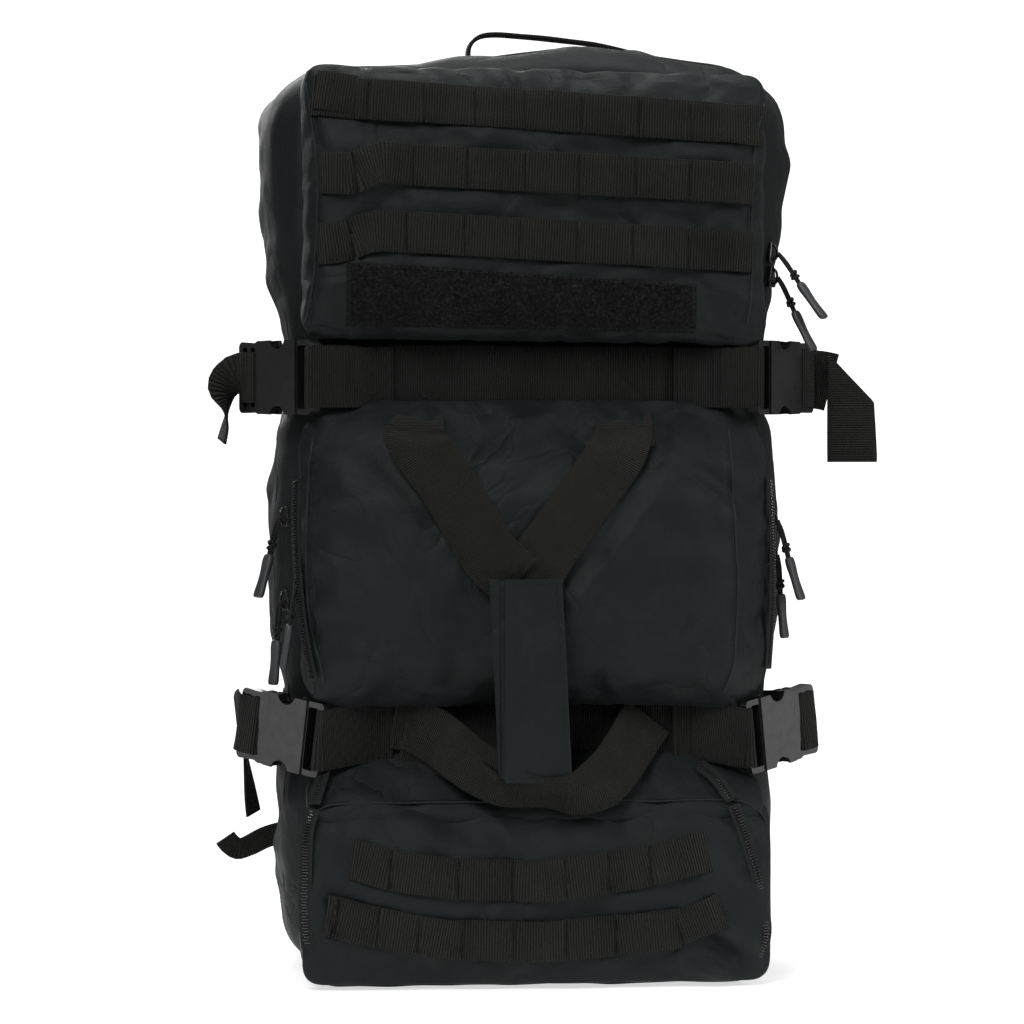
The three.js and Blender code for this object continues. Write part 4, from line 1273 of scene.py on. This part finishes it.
def tails():
    top = on_buckle("upper_right", 50, 0, 2.6)
    # stands out to the right, then folds over and hangs
    tail("upper_right_tail_out", "upper_right", [
        (191, top[1] + 3, 395.5, 0.02, 0, 1), (199, top[1] + 1.2, 394, 0.0, 0, 1),
        (203, top[1] + 0.8, 393, 0.0, 0, 1)], 39, 0)
    hanging_end("upper_right_tail_hang", "upper_right", top[1] - 2.6, 199.6,
                (340, 344, 380, 411.5), (233, 233.2, 231, 200.5))
    hem = [(201.0, top[1] - 3.6, 346.5), (232.0, top[1] - 3.6, 347)]
    stitch("upper_right_buckle_plug", hem, (0, -1, 0), 2.7, 2.0, 0.6)
    left = on_buckle("upper_left", 50, 0, 2.6)
    tail("upper_left_tail", "upper_left", [
        (left[0] - 6, left[1] + 2, 394, -0.25, -0.1, 1), (left[0] - 10, left[1] + 5, 387, -0.35, -0.6, 0.8),
        (left[0] - 11, left[1] + 8, 377, -0.1, -1, 0.4), (left[0] - 12.5, left[1] + 10, 365, 0.1, -1, 0.1),
        (left[0] - 15, left[1] + 11, 354, 0.15, -1, 0)], 33, 0)
    right = on_buckle("lower_right", 50, 0, 2.6)
    tail("lower_right_tail", "lower_right", [(right[0] + 2.5, right[1] + 9, 168, 0.05, 0.1, 1)], 38, -0.1)
    low = on_buckle("lower_left", 50, 0, 2.6)
    tail("lower_left_tail", "lower_left", [
        (low[0] - 4, low[1] + 8, 172, -0.05, 0, 1), (low[0] - 5, low[1] + 16, 168, -0.05, 0.2, 1)],
        38, 0.1, 53)
    tail("lower_left_tail_hang", "lower_left", [
        (low[0] - 2.2, low[1] + 20, 178, 0, 1, 0), (low[0] - 1.0, low[1] + 22, 158, 0, 1, 0),
        (low[0] + 1.2, low[1] + 23, 138, 0.1, 1, 0), (low[0] + 3.2, low[1] + 24, 122, 0.2, 1, 0),
        (low[0] + 5.6, low[1] + 24, 107, 0.25, 1, 0)], 37)


tails()


# ---------- carry handle ----------
def leg(name, stations, seed, node=None):
    made = webbing(name, stations, 38, 2.0, HANDLE_WEBBING, 2.2, 0.7, seed)
    place(made, "carry_handle", node)


def carry_handle():
    for side, word, x in ((1, "right", 57.0), (-1, "left", -79.0)):
        tab = [
            (x, -57.6, 379, 1, 0, 0), (x, -61, 374, 1, 0, 0), (x, -71, 367, 1, 0, 0),
            (x, lay(on_middle, x, 352) - 2.6, 352, 1, 0, 0.0),
        ]
        made = webbing(f"handle_tab_{word}", tab, 38.5, 1.8, HANDLE_WEBBING, 2.2, 0.3, side)
        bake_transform(made)
    right = [
        (57, -66, 366, 1, 0, 0), (56, -82, 359, 1, 0.02, -0.05), (50, -95, 347, 0.96, 0.02, -0.3),
        (39, -99.5, 331, 0.86, 0.03, -0.52), (22, -101.5, 308, 0.82, 0.03, -0.58),
        (5, -104.5, 285, 0.84, 0, -0.55), (-4, -107.5, 271, 0.9, -0.05, -0.42),
        (-9, -108, 264, 0.95, -0.05, -0.3),
    ]
    left = [
        (-79, -66, 366, 1, 0, 0), (-80, -82, 358, 1, -0.02, 0.05), (-74, -95, 347, 0.96, -0.1, 0.25),
        (-62, -99, 331, 0.86, 0.1, 0.5), (-48, -101.5, 308, 0.82, 0.12, 0.56), (-34, -104, 284, 0.8, 0, 0.58),
        (-22, -109.6, 271, 0.9, -0.1, 0.4), (-15, -110, 265, 0.95, -0.1, 0.25),
    ]
    leg("handle_leg_right", right, 1.0, "upper_handle")
    leg("handle_leg_left", left, 2.0)


carry_handle()


def grip():
    """The cloth sleeve round the joined legs, and the flap that closes over its front."""
    def shift_at(z):
        return -7.0 - 0.05 * (z - 201)

    low, high = (-23, -115.6, 137), (22, -99, 266)
    points, faces = rounded_block(low, high, (4, 3, 5), (5, 5, 2.5), (6, 6, 2.2))
    points[:, 0] += shift_at(points[:, 2])
    points[:, 0] += 1.0 * crumple(points, 40, 3.0) * (np.abs(points[:, 0]) > 15)
    sleeve = mesh_object("grip_sleeve_cloth", points, faces, NYLON)
    smooth_levels(sleeve, 1)
    place(sleeve, "carry_handle", "grip_sleeve")

    # the flap turns about its hinge line; the strip left of that line is sewn to the sleeve
    hinge_x = -24.0

    def front_cloth(name, body, from_hinge):
        back, front = (-116.3, -117.2) if from_hinge else (-115.7, -116.4)
        low, high = (0, front, 136.2), (1, back, 266.6)
        planes = [np.linspace(0, 1, 17 if from_hinge else 6), np.linspace(low[1], high[1], 3),
                  spaced(low[2], high[2], 4, 2)]
        points, faces = lattice(*planes)
        shift = shift_at(points[:, 2])
        left = np.full(len(points), hinge_x + 0.3) if from_hinge else shift - 23.6
        right = shift + 23.2 if from_hinge else np.full(len(points), hinge_x - 3.2)
        points[:, 0] = left + points[:, 0] * (right - left)
        if from_hinge:
            loose = np.clip((points[:, 0] - hinge_x - 4) / 14, 0, 1)
            points[:, 1] -= loose * (0.5 + 0.7 * crumple(points, 25, 6.0))
        made = mesh_object(name, points, faces, NYLON)
        smooth_levels(made, 1)
        place(made, body)
        return made

    strip = front_cloth("grip_flap_root", "carry_handle", False)
    flap = front_cloth("grip_flap_cloth", "grip_flap", True)
    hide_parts("grip_flap")
    on_flap = surface(flap, strip)

    def stitched(body, ends):
        line = [(x, lay(on_flap, x, z, -118.5) - 0.1, z) for x, z in ends]
        stitch(body, line, (0, -1, 0), 3.0, 2.2, 0.5)

    stitched("carry_handle", [(shift_at(z) - 22.2, z) for z in np.linspace(168, 264, 30)])
    stitched("grip_flap", [(shift_at(z) + 20.0, z) for z in np.linspace(139, 264, 40)])
    for z0 in (139.0, 264.0):
        stitched("grip_flap", [(x, z0) for x in np.linspace(hinge_x + 4, shift_at(z0) + 20, 14)])


grip()


def lower_handle():
    stations_left = [
        (-92, -59.5, 172, 0.35, 0, 0.95), (-80, -62, 170, 0.3, -0.05, 0.95),
        (-66, -72, 163, 0.45, -0.2, 0.8), (-52, -86, 153, 0.5, -0.25, 0.75),
        (-38, -97, 143, 0.45, -0.35, 0.8), (-22, -103, 135, 0.3, -0.5, 0.75),
        (-6, -105, 130, 0.1, -0.7, 0.6), (10, -106, 128.5, -0.1, -0.7, 0.6),
    ]
    stations_right = [
        (24, -105, 129, -0.3, -0.5, 0.75), (38, -101, 134, -0.52, -0.25, 0.78),
        (50, -91, 143, -0.64, -0.15, 0.74), (60, -77, 154, -0.66, -0.1, 0.74),
        (68, -65, 164, -0.62, 0, 0.78), (75, -59.5, 174, -0.55, 0, 0.8),
    ]
    fold_stations = [
        (-86, -60.5, 160, 0.1, 0, 1), (-70, -66, 156, 0.3, -0.2, 0.9), (-54, -78, 147, 0.35, -0.4, 0.8),
        (-40, -90, 138, 0.3, -0.6, 0.65), (-26, -97, 131, 0.2, -0.8, 0.4),
    ]
    loop = webbing(
        "lower_handle_webbing", stations_left + stations_right, 36, 2.0, HANDLE_WEBBING, 2.0, 2.4, 5.0)
    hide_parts("lower_handle")
    second = webbing("lower_handle_fold", fold_stations, 28, 1.8, HANDLE_WEBBING, 2.0, 1.8, 6.0)
    for made in (loop, second):
        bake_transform(made)


lower_handle()


# ---------- haul handle ----------
def haul_handle():
    # a low loop, highest near its left end and slack towards its right end
    rise = [(-30, 607), (-32, 616), (-31, 624), (-25, 630), (-14, 632), (6, 631), (32, 628.5),
            (56, 625.5), (78, 620.5), (95, 614), (105, 608.5)]
    stations = [(x, 86, z, 0, 1, 0.04) for x, z in rise]
    made = webbing("haul_handle_webbing", stations, 24, 2.6, WEBBING, 1.6, 0.5, 3.0)
    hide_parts("haul_handle")
    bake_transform(made)
    for x, z, dz in ((-38, 606.6, 1.5), (111, 606.6, -1.5)):
        patch = webbing(f"haul_foot_{'left' if x < 0 else 'right'}",
                        [(x - 12, 86, z - dz, 0, 1, 0), (x + 12, 86, z + dz, 0, 1, 0)], 25, 1.6, WEBBING)
        place(patch, "pack")


haul_handle()


# ---------- zips ----------
def ladder(name, path, outward, body, tape=12.0, pitch=2.1, tooth=(4.6, 1.45, 1.5), replaces=None):
    """A zip along points: two tapes and a row of teeth that stand out of them."""
    path, outward = np.array(path, float), np.array(outward, float)
    outward /= np.linalg.norm(outward, axis=1, keepdims=True)
    along = directions(path)
    side = np.cross(outward, along)
    stations = np.hstack([path, side])
    band = webbing(name + "_tape", stations, tape, 0.9, BINDING, 2.5, 0.0, 0.0, False)
    place(band, body)
    if replaces:
        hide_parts(replaces)
    travelled = distances(path)
    points, faces = [], []
    wide, long, high = tooth
    for i, s in enumerate(np.arange(pitch, travelled[-1] - pitch, pitch)):
        c, o, a, d = (at_distance(travelled, v, s) for v in (path, outward, along, side))
        shift = 0.35 if i % 2 else -0.35
        base = len(points)
        for up, grow in ((0.2, 1.0), (0.2 + high * 0.7, 0.95), (0.2 + high, 0.6)):
            for su, sa in ((-1, -1), (1, -1), (1, 1), (-1, 1)):
                across = d * (shift + su * wide / 2 * grow)
                points.append(c + across + a * (sa * long / 2 * grow * 0.95) + o * up)
        faces += [tuple(base + i for i in face) for face in tube_faces(3, 4)]
    teeth = mesh_object(name + "_teeth", points, faces, ZIP_PLASTIC, False)
    place(teeth, body)


def edge_line(z_end, inset, y):
    """Points up the right edge, over the top and down the left, with outward directions."""
    base, out = outline(inset, 3.0)
    # the outline starts at the bottom right and runs anticlockwise
    keep = base[:, 1] > z_end
    line = [(x, y, z) for x, z in base[keep]]
    turned = [(x * 0.8, -0.6, z * 0.8) for x, z in out[keep]]
    return line, turned


ZIP_Y = -25.0
zip_line, zip_out = edge_line(115, 7.5, ZIP_Y)
zip_line = [np.array(p) + 1.4 * np.array(o) for p, o in zip(zip_line, zip_out)]
ladder("main_zip", zip_line, zip_out, "pack", replaces="main_zip")


def piping(name, inset, y, radius):
    base, _ = outline(inset, 4.0)
    line = [(x, y, z) for x, z in base]
    line.append(line[0])
    made = tube(name, line, radius, BINDING)
    place(made, "pack")


piping("front_edge_binding", 0.2, -11, 1.7)
piping("back_edge_binding", 2.6, 90, 2.0)


def pocket_zip(name, stations, outward, body):
    path = smooth_points(stations, 2.2)
    ladder(name, path, [outward] * len(path), body, 9.0, 1.9, (3.8, 1.3, 1.3))


POCKET_ZIPS = {
    "lower_pocket_zip_right_top": (
        "pack", (0.35, -1, 0), [(108, -66, 143), (118, -77, 134), (127, -86, 121)]),
    "lower_pocket_zip_right": ("lower_panel", (0.35, -1, 0), [
        (128, -87, 118), (135, -90.5, 98), (143, -91, 72), (147.5, -89, 50), (148.5, -88, 32),
        (143, -88, 16)]),
    "lower_pocket_zip_left_top": (
        "pack", (-0.35, -1, 0), [(-136, -62, 145), (-141, -76, 132), (-145, -86, 121)]),
    "lower_pocket_zip_left": ("lower_panel", (-0.35, -1, 0), [
        (-145.5, -87, 118), (-149.5, -90, 103), (-150.5, -90, 80), (-150.5, -89, 50), (-149, -89, 28)]),
    "middle_pocket_zip_left": ("pack", (-0.9, -0.6, 0), [
        (-155, -60, 330), (-155.8, -66, 300), (-154, -72, 262), (-150, -78, 226), (-145, -84, 200)]),
    "middle_pocket_zip_right": ("pack", (0.9, -0.6, 0), [
        (156, -58, 330), (157, -62, 290), (156.5, -64, 245), (154, -64, 205)]),
}
for name, (body, outward, stations) in POCKET_ZIPS.items():
    pocket_zip(name, stations, outward, body)


# ---------- sliders and pulls ----------
# each slider's side and height, and how far its pull leans out in radians
SLIDERS = {
    "right_upper_a": (1, 479, 0.62), "right_upper_b": (1, 463, 0.45),
    "right_middle_a": (1, 302, 0.28), "right_middle_b": (1, 279, 0.05),
    "left_middle_a": (-1, 305, 0.28), "left_middle_b": (-1, 250, 0.05),
}
SLIDER_X = 157.5
SLIDER_LIFT = 2.9
HOOK_LIFT = 6.3


def slider_piece(name, at, x_dir, z_dir, w_dir, body, node):
    """A moulded slider with its bridge, in a frame of across, along and outward."""
    points = []
    profile = [(-7, 3.2), (-6.2, 4.4), (-2, 4.5), (2.5, 3.4), (6, 3.0), (7, 2.2)]
    for z, half in profile:
        left = [(-half, 0.2), (-half, 2.4), (-half + 1.0, 3.2)]
        for x, w in left + [(-x, w) for x, w in left[::-1]]:
            points.append(at + x_dir * x + z_dir * z + w_dir * w)
    faces = tube_faces(len(profile), 6, True)
    body_piece = mesh_object(name, points, faces, ZIP_PLASTIC, False)
    mod = body_piece.modifiers.new("edges", "BEVEL")
    mod.width, mod.segments = 0.5 * MM, 2
    apply_modifiers(body_piece)
    arch = ((-5, 2.6), (-4.4, 4.6), (-2.6, 5.7), (0.5, 6.0), (3, 5.5), (4.6, 4.2), (5, 2.6))
    path = smooth_points([at + z_dir * z + w_dir * w for z, w in arch], 1.0)
    bridge = tube(name + "_bridge", path, 0.95, ZIP_PLASTIC)
    for piece in (body_piece, bridge):
        place(piece, body)
    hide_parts(*node)


def pull_piece(name, hook, down, out, across, body, node, bend=1.5):
    """A doubled cord from the slider's bridge to a moulded tab with a waist and a ridge."""
    # how far each point of a strand is across, out and down
    strand = ((1.25, -0.2, 0.3), (1.7, 0.9, 8), (1.5, 1.2, 18), (1.3, 1.2, 27), (1.2, 1.2, 33))
    for sign in (-1, 1):
        keys = [hook + across * sign * a + out * b + down * c for a, b, c in strand]
        path = smooth_points(keys, 1.5)
        made = tube(f"{name}_cord_{'a' if sign < 0 else 'b'}", path, 1.1, CORD)
        place(made, body)
    # the tab: sections along its length, wide at both ends
    sections = [(26.2, 2.4, 1.6), (26.8, 3.6, 2.3), (29, 4.4, 2.6), (33, 4.5, 2.6), (38, 3.9, 2.2),
                (44, 3.9, 2.1), (50, 4.4, 2.3), (54, 4.7, 2.4), (55.6, 4.2, 2.0), (56, 3.0, 1.2)]
    points, ring = [], 12
    for s, half, thick in sections:
        centre = hook + down * s + out * (1.6 + bend * ((s - 26) / 30) ** 2)
        for k in range(ring):
            a = 2 * math.pi * k / ring
            ca, sa = math.cos(a), math.sin(a)
            points.append(centre + across * half * squared(ca, 0.6) + out * thick * squared(sa, 0.7))
    faces = tube_faces(len(sections), ring, True)
    tab = mesh_object(f"{name}_tab", points, faces, RUBBER)
    smooth_levels(tab, 1)
    place(tab, body, node)
    knot_path = []
    for t in np.linspace(0, 2 * math.pi * 1.6, 26):
        knot_path.append(hook + down * (20 + 2.2 * math.sin(t * 0.62)) + out * (1.2 + 2.0 * math.sin(t))
                         + across * 2.6 * math.cos(t))
    knot = tube(f"{name}_knot", knot_path, 1.15, CORD)
    place(knot, body)


def zips():
    up = np.array([0.0, 0.0, 1.0])

    def hanging(outward, lean):
        """Down and out along a pull that leans away from the zip."""
        down = -up * math.cos(lean) + outward * math.sin(lean)
        return down, outward * math.cos(lean) + up * math.sin(lean)

    for name, (side, z, lean) in SLIDERS.items():
        w_dir = np.array([side * 0.8, -0.6, 0.0])
        x_dir = np.cross(up, w_dir)
        at = np.array([side * SLIDER_X, ZIP_Y, z]) + w_dir * SLIDER_LIFT
        slider_piece(f"slider_{name}", at, x_dir, up, w_dir, f"zip_slider_{name}", [f"zip_slider_{name}"])
        hook = at + w_dir * HOOK_LIFT
        down, out = hanging(w_dir, lean)
        pull_piece(f"pull_{name}", hook, down, out, x_dir, f"zip_pull_{name}", f"zip_pull_{name}")
    w_dir, x_dir = np.array([-1.0, 0, 0]), np.array([0, -1.0, 0])
    at = np.array([-150.6, -70.0, 262.0])
    slider_piece("slider_pocket", at, x_dir, up, w_dir, "zip_pull_pocket", [])
    down, out = hanging(w_dir, 0.1)
    pull_piece("pull_pocket", at + w_dir * 5.0, down, out, x_dir, "zip_pull_pocket", "zip_pull_pocket")


zips()


# ---------- wearer's side ----------
def back_pad():
    low, high = (-125, 105.4, 50), (125, 119, 560)
    points, faces = rounded_block(low, high, (7, 3, 7), (8, 5, 10), (30, 8, 30))
    behind = np.clip((points[:, 1] - 107) / 10, 0, 1)
    points[:, 1] -= behind * 4.5 * np.exp(-((points[:, 0] / 9) ** 2))
    for z in (150, 260, 370, 480):
        points[:, 1] -= behind * 4.0 * np.exp(-(((points[:, 2] - z) / 6) ** 2))
    points[:, 1] += behind * 1.2 * crumple(points, 50, 2.0)
    made = mesh_object("back_padding", points, faces, SPACER)
    smooth_levels(made, 1)
    place(made, "pack", "back_pad")
    line = []
    for a in np.linspace(0, 2 * math.pi, 160):
        c, s = math.cos(a), math.sin(a)
        line.append((122 * squared(c, 0.35), 108.6, 305 + 252 * squared(s, 0.35)))
    edge = tube("back_padding_binding", line, 2.2, BINDING)
    place(edge, "pack")


back_pad()


def shoulder_straps():
    for side, word in ((1, "right"), (-1, "left")):
        keys = [(62, 128, 545, 1, 0), (58, 133, 500, 1, 0), (56, 136.5, 440, 1, 0.05),
                (62, 135, 370, 0.98, 0.15), (76, 131.5, 300, 0.96, 0.22), (94, 127.5, 236, 0.95, 0.28)]
        stations = [(side * x, y, z, a, 0, side * c) for x, y, z, a, c in keys]
        path = smooth_path(stations, 6)
        centre, width_dir = path[:, :3], path[:, 3:6]
        width_dir /= np.linalg.norm(width_dir, axis=1, keepdims=True)
        along = directions(centre)
        up = np.cross(along, width_dir)
        up *= np.sign(up[:, 1:2])
        points, ring = [], 20
        n = len(centre)
        for i in range(n):
            t = i / (n - 1)
            end = min(1.0, (t + 0.012) / 0.05, (1.012 - t) / 0.05) ** 0.5
            half = 31 * (1 - 0.12 * math.sin(math.pi * t)) * (0.8 + 0.2 * end)
            thick = 6.0 * (0.5 + 0.5 * end)
            for k in range(ring):
                a = 2 * math.pi * k / ring
                ca, sa = math.cos(a), math.sin(a)
                lateral = half * squared(ca, 0.45)
                groove = 1.0 * math.exp(-((abs(lateral) - half * 0.62) / 2.5) ** 2)
                height = thick * squared(sa, 0.6) - math.copysign(groove, sa)
                points.append(centre[i] + width_dir[i] * lateral + up[i] * height)
        faces = tube_faces(n, ring)
        pad = mesh_object(f"shoulder_padding_{word}", points, faces, NYLON)
        smooth_levels(pad, 1)
        body = f"shoulder_strap_{word}"
        place(pad, body, f"shoulder_pad_{word}")
        for edge_side in (-1, 1):
            line = [centre[i] + width_dir[i] * edge_side * 30.6 * (1 - 0.12 * math.sin(math.pi * i / (n - 1)))
                    for i in range(1, n - 1)]
            edge = tube(f"shoulder_binding_{word}_{'a' if edge_side < 0 else 'b'}", line, 2.0, BINDING)
            place(edge, body)
        rail = [(*(centre[i] + up[i] * 7.2), *width_dir[i]) for i in range(2, n - 2)]
        strip = webbing(f"shoulder_webbing_{word}", rail, 25, 1.5, WEBBING, 2.5, 0.3, side, False)
        place(strip, body)
        yoke = webbing(f"shoulder_root_{word}", [
            (side * 62, 106.4, 566, 1, 0, 0), (side * 62, 117, 562, 1, 0, 0), (side * 62, 126, 553, 1, 0, 0),
            (side * 61.6, 128.5, 540, 1, 0, 0)], 50, 3.0, NYLON, 2.5, 0.3, side)
        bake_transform(yoke)


shoulder_straps()


def lower_straps():
    for side, word in ((1, "right"), (-1, "left")):
        body = f"lower_strap_{word}"
        # its top runs on inside the padding, so that it still reaches the padding when both swing out
        keys = [(90, 129.4, 264, 0.95, 0, 0.3), (94, 129.2, 248, 0.94, 0, 0.33),
                (98, 129, 232, 0.93, 0, 0.37), (112, 126.6, 182, 0.93, 0, 0.37),
                (133, 119, 126, 0.9, 0.1, 0.4), (145, 109, 92, 0.75, 0.1, 0.66), (150, 107, 78, 0.7, 0, 0.7)]
        stations = [(side * x, y, z, a, b, side * c) for x, y, z, a, b, c in keys]
        made = webbing(f"lower_webbing_{word}", stations, 25, 1.6, WEBBING, 2.5, 0.5, side)
        place(made, body, f"lower_strap_{word}")
        centre = np.array([side * 97.0, 129.0, 236.0])
        along = np.array([side * 0.27, -0.05, -0.96])
        along /= np.linalg.norm(along)
        across = np.array([0.93, 0, side * 0.3])
        across /= np.linalg.norm(across)
        out = np.cross(across, along)
        out *= np.sign(out[1])
        bars = []
        for s in (-8, 0, 9):
            bars.append([centre + along * s + across * t + out * 2.2 for t in (-15, 15)])
        for t in (-15, 15):
            bars.append([centre + along * s + across * t + out * 2.2 for s in (-8, 9)])
        for i, (a, b) in enumerate(bars):
            rod = tube(f"adjuster_{word}_{i}", [a + (b - a) * t for t in np.linspace(0, 1, 5)], 1.7, ACETAL)
            place(rod, f"shoulder_strap_{word}")
    free = [(-149, 108.5, 84, 0.1, 0.2, 1), (-160, 109.5, 82, 0.1, 0.1, 1), (-171, 108, 79, 0.1, 0.1, 1),
            (-182, 105, 74, 0.25, 0.05, 1), (-190, 101, 72, 0.35, 0, 1), (-196, 99.5, 76, 0.45, 0, 0.9),
            (-199, 99, 80, 0.5, 0, 0.85)]
    made = webbing("lower_strap_tail_left", free, 15, 1.5, WEBBING, 2.0, 0.4, 4.0)
    place(made, "lower_strap_left")


lower_straps()


# the stiffening sheet keeps its CAD shape
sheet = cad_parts["frame_sheet"]
sheet.data.materials.clear()
sheet.data.materials.append(SHEET)

make_stitches()


# ---------- floor and light ----------
def stage():
    bpy.ops.mesh.primitive_plane_add(size=1.3, location=(0, -0.05, -0.0002))
    floor = bpy.context.object
    floor.name = "floor"
    made, n = new_material("pale_floor")
    pale = 0.62
    n.to("Base Color", (pale, pale, pale, 1))
    n.to("Roughness", 0.9)
    n.to("Emission Color", (1, 1, 1, 1))
    n.to("Emission Strength", pale)
    floor.data.materials.append(made)
    world = bpy.data.worlds.new("studio")
    bpy.context.scene.world = world
    world.use_nodes = True
    nodes, links = world.node_tree.nodes, world.node_tree.links
    seen = nodes.new("ShaderNodeLightPath")
    strength = nodes.new("ShaderNodeMapRange")
    strength.inputs["To Min"].default_value = 0.15
    strength.inputs["To Max"].default_value = 1.3
    links.new(seen.outputs["Is Camera Ray"], strength.inputs["Value"])
    links.new(strength.outputs[0], nodes["Background"].inputs[1])
    nodes["Background"].inputs[0].default_value = (1, 1, 1, 1)
    bpy.context.scene.view_settings.view_transform = "Standard"


def area_light(name, at, aim, size, power):
    data = bpy.data.lights.new(name, "AREA")
    data.shape = "RECTANGLE"
    data.size, data.size_y = size
    data.energy = power
    made = bpy.data.objects.new(name, data)
    bpy.context.scene.collection.objects.link(made)
    made.location = at
    made.rotation_euler = (Vector(aim) - Vector(at)).to_track_quat("-Z", "Y").to_euler()


# where each light stands, what it is aimed at, its size in metres and its power in watts
LIGHTS = {
    "key": ((-0.9, -1.9, 1.9), (0, 0, 0.35), (1.1, 1.1), 46),
    "side": ((1.7, -1.0, 1.1), (0, 0, 0.3), (0.7, 1.3), 18),
    "top": ((0.1, 0.1, 2.1), (0, 0, 0.4), (1.2, 0.8), 20),
    "low_right": ((1.95, 0.04, 0.1), (0.16, -0.05, 0.165), (0.55, 0.55), 1.5),
    "low_left": ((-1.95, -0.29, 0.08), (-0.16, -0.05, 0.165), (0.55, 0.55), 1.5),
    "back": ((-0.5, 2.0, 1.3), (0, 0, 0.3), (1.3, 1.3), 24),
}
stage()
for name, settings in LIGHTS.items():
    area_light(name, *settings)
